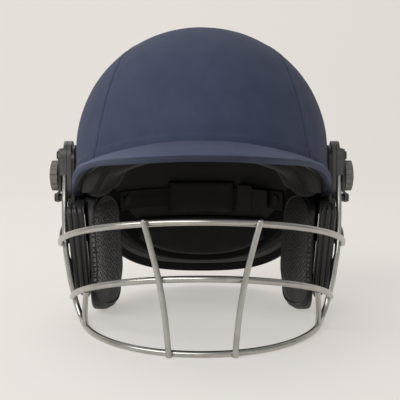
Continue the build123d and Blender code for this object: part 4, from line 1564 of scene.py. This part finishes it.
@dataclass
class ChinStrap:
    """The chin strap, stowed round the inside of the nape: two runs of webbing with their sewn ends."""

    dome: Dome
    finishes: Finishes
    inset: float = 19.0 * MM
    thickness: float = 1.4 * MM
    width: float = 18 * MM
    selvedge: float = 0.25 * MM
    selvedge_power: int = 8
    middle_z: float = 92 * MM
    start_y: float = 60 * MM + STAND_Y
    left_end_x: float = 42 * MM
    right_end_x: float = 48 * MM

    def run(self, name: str, start: float, end: float) -> Thing:
        """Builds one run of webbing between two turns round the dome.

        Args:
            name: the node that it replaces.
            start: the turn of its first end.
            end: the turn of its other end.

        Returns:
            The webbing.
        """
        dome = self.dome

        def place(along: float, across: float) -> Vector:
            """Finds a point of the webbing.

            Args:
                along: its share of the length.
                across: its share of the width.

            Returns:
                The point.
            """
            climb = dome.climb_at(self.middle_z + self.width * (across - 0.5))
            spot = dome.point(start + (end - start) * along, climb, self.inset)
            thin = math.cos(math.tau * across) ** self.selvedge_power
            return spot - dome.outward(spot) * self.selvedge * thin

        reach = run_length(lambda along: place(along, 0.5), 60)
        shape = bmesh.new()
        lay_grid(shape, 150, 18, place, (reach, self.width))
        bmesh.ops.recalc_face_normals(shape, faces=shape.faces)
        offset = -1 if dome.faces_out(shape) else 1
        band = place_piece(f"{name}_webbing", shape, [self.finishes.webbing], name)
        thicken(band, self.thickness, offset)
        return band

    def build(self) -> None:
        """Builds both runs."""
        wide, long = self.dome.half_width - self.inset, self.dome.half_length - self.inset
        rear = math.asin((self.start_y - self.dome.middle_y) / long)
        self.run("chin_strap_left", math.pi - rear, math.acos(self.left_end_x / wide))
        self.run("chin_strap_right", math.acos(self.right_end_x / wide), rear)


@dataclass
class EarPad:
    """One ear pad: leatherette round a foam core, a mesh face towards the ear and piping along its seam."""

    side: Side
    finishes: Finishes
    length: float = 36 * MM
    outer_x: float = 94.9 * MM
    depth: float = 22 * MM
    top_z: float = 104.5 * MM
    head_power: float = 2 / 9
    foot_power: float = 2 / 5.4
    end_power: float = 0.18
    end_height: float = 0.55
    belly: float = 0.9 * MM
    shoulder: float = 3.3 * MM
    shoulder_place: tuple[float, float] = (-4 * MM + STAND_Y, 7 * MM)
    shoulder_rise: float = 0.45
    foot_kick: float = 2.0 * MM
    kick_from: tuple[float, float] = (-1.0, -0.35)
    end_closing: float = 0.02
    floor_gap: float = 0.15 * MM
    mesh_z: tuple[float, float] = (24 * MM, 96 * MM)
    mesh_facing: float = 0.62
    mesh_squeeze: float = 0.6
    piping: float = 0.75 * MM
    piping_proud: float = 0.35 * MM
    piping_steps: int = 200
    piping_softening: int = 6
    seam_legs: tuple[float, ...] = (0.0, 0.28, 0.5, 0.78, 1.0)
    seam_corners: tuple[tuple[float, float], ...] = (
        (0.1, 0.635), (0.1, 0.365), (0.9, 0.365), (0.9, 0.635), (0.1, 0.635),
    )
    patch_radius: float = 5.4 * MM
    patch_depth: float = 1.5 * MM
    patch_round: float = 0.3 * MM
    patch_inset: float = 15 * MM
    guard_half: tuple[float, float] = (35 * MM, 43 * MM)
    patch_shares: tuple[tuple[float, float], ...] = ((-0.486, 0.186), (-0.343, 0.767), (-0.229, -0.721))
    shares: tuple[tuple[float, float, float, float, float], ...] = (
        (-0.806, 0.09, 0.25, 0.210, 0.838), (-0.667, 0.02, 0.31, 0.133, 0.924),
        (-0.278, 0.0, 0.42, 0.052, 0.981),
        (0.222, 0.0, 0.56, 0.012, 1.0), (0.556, 0.0, 0.72, 0.002, 0.990), (0.944, 0.06, 0.90, 0.004, 0.943),
        (1.278, 0.22, 1.01, 0.086, 0.838), (1.472, 0.42, 0.92, 0.210, 0.705),
    )

    def __post_init__(self) -> None:
        """Prepares the lookup of the pad's sections."""
        self.station_at = cache(self.station)

    def station(self, along: float) -> tuple[float, float, float, float, float]:
        """Reads one section of the pad.

        Args:
            along: from the front end to the rear end.

        Returns:
            Its place along the helmet, its outer and inner face, and its foot and head.
        """
        back, outer, inner, foot, head = through(self.shares, along)
        faces = (self.outer_x - outer * self.depth, self.outer_x - inner * self.depth)
        return back * self.length + STAND_Y, *faces, foot * self.top_z, head * self.top_z

    def surface(self, along: float, around: float, proud: float = 0.0) -> Vector:
        """Finds a point of the pad's skin.

        Args:
            along: from the front end to the rear end.
            around: round the section, from the middle of its outer face over the head to the inner face.
            proud: how far off the skin.

        Returns:
            The point.
        """
        y, outer, inner, foot, head = self.station_at(along)
        ends = math.sin(math.pi * min(max(along, 0.001), 0.999)) ** self.end_power
        turn = math.tau * around
        power = self.head_power if math.sin(turn) > 0 else self.foot_power
        x, z = signed_power(math.cos(turn), power), signed_power(math.sin(turn), power)
        belly = self.belly * max(-x, 0.0) * math.cos(z * math.pi / 2) * math.sin(math.pi * along)
        shoulder = self.shoulder * max(x, 0.0) * bell(y, *self.shoulder_place) * (1 + self.shoulder_rise * z)
        wide = (outer - inner) / 2 * x * ends + math.copysign(proud, x) * abs(x) + shoulder
        full = self.end_height + (1 - self.end_height) * ends
        high = (head - foot) / 2 * z * full + math.copysign(proud, z) * abs(z)
        kick = self.foot_kick * (1 - smooth_step(z, *self.kick_from))
        spot_x = (outer + inner) / 2 + wide + math.sin(GUARD_LEAN) * high - belly + kick
        spot_z = max((foot + head) / 2 + high * math.cos(GUARD_LEAN), self.floor_gap)
        return Vector((spot_x * self.side.value, y, spot_z))

    def build(self) -> None:
        """Builds the pad, its piping and its patches."""
        shape = bmesh.new()
        lay_grid(shape, 72, 120, self.surface, (0.082, 0.24))
        for end in (0.0, 1.0):
            loop = [v for v in shape.verts if abs(v.co.y - self.surface(end, 0.0).y) < 0.001 * MM]
            centre = sum((v.co for v in loop), Vector()) / len(loop)
            for vert in loop:
                vert.co = vert.co.lerp(centre, self.end_closing)
        close_up(shape)
        bmesh.ops.holes_fill(shape, edges=[edge for edge in shape.edges if edge.is_boundary], sides=0)
        bmesh.ops.recalc_face_normals(shape, faces=shape.faces)
        uv = shape.loops.layers.uv.verify()
        low, high = self.mesh_z
        for face in shape.faces:
            for loop in face.loops:
                loop[uv].uv = (loop.vert.co.y * self.mesh_squeeze, loop.vert.co.z)
            inward = -self.side.value * face.normal.x
            face.material_index = int(inward > self.mesh_facing and low < face.calc_center_median().z < high)
        node = f"ear_pad_{self.side.label}"
        skins = [self.finishes.leatherette[self.side], self.finishes.mesh[self.side]]
        place_piece(f"{node}_skin", shape, skins, node)
        self.piping_cord(node)
        self.patches()

    def seam_spot(self, share: float) -> Vector:
        """Finds a point of the seam round the pad's inner face, at the piping's middle.

        Args:
            share: from 0 at the front foot, up the front, back over the head, down the rear and forward
                again.

        Returns:
            The point.
        """
        legs = self.seam_legs
        leg = max(index for index in range(len(legs) - 1) if legs[index] <= share)
        step = (share - legs[leg]) / (legs[leg + 1] - legs[leg])
        ends = zip(*self.seam_corners[leg : leg + 2])
        along, around = (before + (after - before) * step for before, after in ends)
        return self.surface(along, around, self.piping_proud)

    def piping_cord(self, node: str) -> Thing:
        """Sews the piping round the pad's inner face.

        Args:
            node: the pad's node, which its name starts with.

        Returns:
            The piping.
        """
        steps = self.piping_steps
        path = [self.seam_spot(step / steps) for step in range(steps)]
        for _ in range(self.piping_softening):
            path = [(path[i - 1] + 2 * path[i] + path[(i + 1) % steps]) / 4 for i in range(steps)]
        shape = bmesh.new()
        lay_tube(shape, path, [self.piping] * steps, 10, closed=True)
        return place_piece(f"{node}_piping", shape, [self.finishes.piping])

    def patches(self) -> Thing:
        """Builds the round hook and loop patches that hold the pad on the guard's posts.

        Returns:
            The patches.
        """
        out = Vector((-math.cos(GUARD_LEAN), 0, -math.sin(GUARD_LEAN)))
        up = Vector((-math.sin(GUARD_LEAN), 0, math.cos(GUARD_LEAN)))
        turn = out.to_track_quat("Z", "Y").to_matrix().to_4x4()
        shape = bmesh.new()
        for back, rise in self.patch_shares:
            centre = Vector((-GUARD_X, STAND_Y - back * self.guard_half[0], GUARD_Z))
            centre += up * rise * self.guard_half[1] - out * self.patch_inset
            made = bmesh.ops.create_cone(
                shape, cap_ends=True, segments=28, radius1=self.patch_radius, radius2=self.patch_radius,
                depth=self.patch_depth, matrix=Matrix.Translation(centre) @ turn,
            )
            edges = list(dict.fromkeys(edge for vert in made["verts"] for edge in vert.link_edges))
            bmesh.ops.bevel(
                shape, geom=edges, offset=self.patch_round, segments=2, profile=0.5, affect="EDGES",
                material=-1
            )
        if self.side is Side.RIGHT:
            bmesh.ops.scale(shape, vec=(-1, 1, 1), verts=shape.verts)
            bmesh.ops.reverse_faces(shape, faces=shape.faces)
        label = self.side.label
        finish = [self.finishes.hook_loop]
        return place_piece(f"hook_loop_patches_{label}", shape, finish, f"pad_patches_{label}")


# ---- Ear guard


@dataclass
class GuardRibs:
    """The moulded ribs down the front edge of one ear guard, one row for each rib's place, radius and top."""

    side: Side
    finishes: Finishes
    ribs: tuple[tuple[float, float, float], ...] = (
        (-1.2 * MM, 1.9 * MM, 74 * MM), (3.4 * MM, 2.5 * MM, 98 * MM), (8.2 * MM, 2.2 * MM, 98 * MM),
        (12.6 * MM, 1.8 * MM, 98 * MM),
    )
    edge: float = 0.5 * MM
    low_z: float = 20 * MM
    wire_gap: float = 0.35 * MM
    thinnest: float = 0.05 * MM
    sink: float = 0.3
    taper_steps: int = 4
    steps: int = 64
    front_y: float = -0.2
    tilts: tuple[float, ...] = (0.0, 2.0, 4.0, 6.0, 8.0, 10.0, 12.0)
    pivot: Vector = Vector((0.0, STAND_Y, 120 * MM))

    def room(self, spot: Vector, wires: Sequence[BVHTree]) -> float:
        """Measures how far a point is from the wires, over the whole of the grille's tilt.

        Args:
            spot: the point.
            wires: the search trees of the wires beside it.

        Returns:
            The smallest distance.
        """
        turns = [Matrix.Rotation(math.radians(tilt), 3, "X") for tilt in self.tilts]
        places = [self.pivot + turn @ (spot - self.pivot) for turn in turns]
        return min(tree.find_nearest(place)[3] for tree in wires for place in places)

    def build(self, frame: dict) -> Thing:
        """Builds the ribs on the guard's front edge, clear of the wires.

        Args:
            frame: the loaded frame.

        Returns:
            The ribs.
        """
        side, steps = self.side, self.steps
        guard = tree_of(frame["nodes"][f"ear_guard_{side.label}"])
        wires = [tree_of(frame["nodes"][name]) for name in ("grille_frame", f"grille_lug_{side.label}")]
        shape = bmesh.new()
        for depth, radius, top in self.ribs:
            path, radii = [], []
            for step in range(steps + 1):
                z = self.low_z + (top - self.low_z) * step / steps
                x = GUARD_X + math.tan(GUARD_LEAN) * (z - GUARD_Z) - max(depth, self.edge)
                found = guard.ray_cast(Vector((side.value * x, self.front_y, z)), Vector((0, 1, 0)))[0]
                if found is None:
                    continue
                spot = found + Vector((max(self.edge - depth, 0.0) * side.value, radius * self.sink, 0))
                taper = min(min(step, steps - step) / self.taper_steps, 1.0)
                path.append(spot)
                radii.append(max(min(radius, self.room(spot, wires) - self.wire_gap) * taper, self.thinnest))
            lay_tube(shape, path, radii, 12)
        return place_piece(f"guard_ribs_{side.label}", shape, [self.finishes.guard])


# ---- Grille


@dataclass
class Grille:
    """The steel wire face grille: its wires, the beads of its welds and the rounded tops of its uprights."""

    finishes: Finishes
    nodes: tuple[str, ...] = (
        "grille_frame", "top_bar", "middle_bar", "upright_left", "upright_right", "brace_left", "brace_right",
        "grille_lug_left", "grille_lug_right",
    )
    near: float = 1.2 * MM
    apart: float = 12 * MM
    bead: float = 2.1 * MM
    bead_swell: float = 0.22
    swells_per_metre: float = 420.0
    floor_gap: float = 0.1 * MM
    cap: float = 2.2 * MM
    cap_flat: float = 0.62

    def weld_spots(self, first: Thing, second: Thing) -> list[Vector]:
        """Finds where two wires meet.

        Args:
            first: one wire's node.
            second: the other's.

        Returns:
            The middle of each place where they touch.
        """
        tree = tree_of(second)
        groups: list[list[Vector]] = []
        for edge in first.data.edges:
            ends = [first.data.vertices[index].co for index in edge.vertices]
            steps = max(int((ends[1] - ends[0]).length / self.near), 1)
            for step in range(steps + 1):
                spot = ends[0].lerp(ends[1], step / steps)
                found, _, _, gap = tree.find_nearest(spot)
                if gap > self.near:
                    continue
                middle = (spot + found) / 2
                group = next((g for g in groups if (g[0] - middle).length < self.apart), None)
                if group is None:
                    groups.append([middle])
                else:
                    group.append(middle)
        return [sum(group, Vector()) / len(group) for group in groups]

    def build(self, frame: dict) -> None:
        """Dresses the wires and adds the beads of their welds.

        Args:
            frame: the loaded frame.
        """
        for name in self.nodes:
            dress(frame, name, self.finishes.wire)
        shape = bmesh.new()
        for first, second in frame["record"]["behaviour"]["press_fits"]:
            if first not in self.nodes or second not in self.nodes:
                continue
            for spot in self.weld_spots(frame["nodes"][first], frame["nodes"][second]):
                place = Matrix.Translation(spot)
                made = bmesh.ops.create_icosphere(shape, subdivisions=3, radius=self.bead, matrix=place)
                for vert in made["verts"]:
                    swell = 1 + self.bead_swell * noise.noise(vert.co * self.swells_per_metre)
                    vert.co = spot + (vert.co - spot) * swell
                    vert.co.z = max(vert.co.z, self.floor_gap)
        place_piece("weld_beads", shape, [self.finishes.weld], body=Body.GRILLE)
        self.caps(frame)

    def caps(self, frame: dict) -> Thing:
        """Rounds the top ends of the uprights.

        Args:
            frame: the loaded frame.

        Returns:
            The caps.
        """
        shape = bmesh.new()
        for side in Side:
            mesh = frame["nodes"][f"upright_{side.label}"].data
            top = max(v.co.z for v in mesh.vertices)
            ring = [v.co for v in mesh.vertices if v.co.z > top - self.near]
            place = Matrix.Translation(sum(ring, Vector()) / len(ring))
            bmesh.ops.create_uvsphere(
                shape, u_segments=24, v_segments=14, radius=self.cap,
                matrix=place @ Matrix.Diagonal((1.0, 1.0, self.cap_flat, 1.0)),
            )
        return place_piece("upright_caps", shape, [self.finishes.wire], body=Body.GRILLE)


# ---- The studio and the whole helmet


@dataclass
class Studio:
    """The pale floor, which sweeps up behind, the soft light and the camera."""

    finishes: Finishes
    floor_half: float = 3.0
    floor_front: float = -2.0
    floor_flat: float = 3.2
    floor_bend: float = 0.9
    floor_run: float = 4.6
    bend_radius: float = 0.573
    wall_stretch: float = 4.0
    floor_drop: float = 0.2 * MM
    camera_place: tuple[float, float, float] = (-0.0014, -0.8 + STAND_Y, 0.173)
    camera_drop: float = 5.3
    lens: float = 83.7
    sensor: float = 36.0
    room_colour: str = "F6F6F6"
    room_strength: float = 0.34
    light_target: tuple[float, float, float] = (0.0, 0.0, 0.12)

    def build(self) -> None:
        """Builds the floor, the lights, the world and the camera."""
        self.floor()
        self.light("key", (-1.1, -1.3, 1.2), (3.2, 0.8), 32.0)
        self.light("fill", (1.1, -1.4, 0.5), (0.8, 0.8), 0.8)
        self.light("top", (-0.3, 0.8, 1.6), (1.1, 1.1), 6.5)
        scene = bpy.context.scene
        scene.world = bpy.data.worlds.new("soft room")
        scene.world.use_nodes = True
        background = scene.world.node_tree.nodes["Background"]
        background.inputs["Color"].default_value = linear(self.room_colour)
        background.inputs["Strength"].default_value = self.room_strength
        camera = bpy.data.cameras.new("camera")
        camera.lens = self.lens
        camera.sensor_width = self.sensor
        viewer = bpy.data.objects.new("camera", camera)
        viewer.location = self.camera_place
        viewer.rotation_euler = (math.radians(90 - self.camera_drop), 0.0, 0.0)
        scene.collection.objects.link(viewer)
        scene.camera = viewer
        scene.view_settings.view_transform = "Standard"

    def floor(self) -> None:
        """Lays the floor and bends it up to a wall behind the helmet."""
        shape = bmesh.new()
        bmesh.ops.create_grid(shape, x_segments=2, y_segments=40, size=1.0)
        for vert in shape.verts:
            run = (vert.co.y + 1) / 2 * self.floor_run
            bend = min(max(run - self.floor_flat, 0.0) / self.floor_bend, 1.0) * math.pi / 2
            y = self.floor_front + min(run, self.floor_flat) + self.bend_radius * math.sin(bend)
            wall = max(run - self.floor_flat - self.floor_bend, 0.0) * self.wall_stretch
            z = self.bend_radius * (1 - math.cos(bend)) + wall - self.floor_drop
            vert.co = Vector((vert.co.x * self.floor_half, y, z))
        place_thing("pale_floor", shape, [self.finishes.floor])

    def light(
        self, name: str, place: tuple[float, float, float], size: tuple[float, float], power: float
    ) -> None:
        """Adds a rectangular soft light that faces the helmet.

        Args:
            name: the light's name.
            place: where it hangs.
            size: its width and height in metres.
            power: in watts.
        """
        lamp = bpy.data.lights.new(name, "AREA")
        lamp.shape = "RECTANGLE"
        lamp.size, lamp.size_y = size
        lamp.energy = power
        holder = bpy.data.objects.new(name, lamp)
        holder.location = place
        holder.rotation_euler = (
            (Vector(self.light_target) - Vector(place)).to_track_quat("-Z", "Y").to_euler()
        )
        bpy.context.scene.collection.objects.link(holder)


def dress_hard_parts(frame: dict, finishes: Finishes) -> None:
    """Gives the frame's hard pieces their finishes.

    Args:
        frame: the loaded frame.
        finishes: the helmet's materials.
    """
    table = {
        "shell": finishes.plate, "liner": finishes.foam, "peak_core": finishes.plate,
        "strap_rivets": finishes.rivet, "buckle_body": finishes.rivet, "buckle_tongue": finishes.rivet,
    }
    pairs = {
        "ear_guard": finishes.guard, "pivot_base": finishes.plate, "pivot_nut": finishes.steel,
        "knob": finishes.knob,
        "clamp_plate": finishes.plate, "pivot_strap": finishes.plate, "clamp_screws": finishes.screw,
        "lower_screw": finishes.screw, "lower_washer": finishes.plate, "lower_nut": finishes.steel,
    }
    for side in Side:
        table.update({f"{name}_{side.label}": finish for name, finish in pairs.items()})
    for name, finish in table.items():
        dress(frame, name, finish)


def main() -> None:
    """Builds the helmet and its studio."""
    logging.basicConfig(level=logging.INFO, format="%(message)s")
    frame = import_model()
    finishes = Finishes()
    dome = Dome()
    Studio(finishes).build()
    dress_hard_parts(frame, finishes)
    ClothCover(dome, finishes).build()
    Peak(dome, finishes).build(frame)
    RimBinding(dome, finishes).build()
    InnerPads(dome, finishes).build()
    LinerEdge(dome, finishes).build()
    ChinStrap(dome, finishes).build()
    for side in Side:
        EarPad(side, finishes).build()
        GuardRibs(side, finishes).build(frame)
    Grille(finishes).build(frame)


if __name__ == "__main__":
    main()
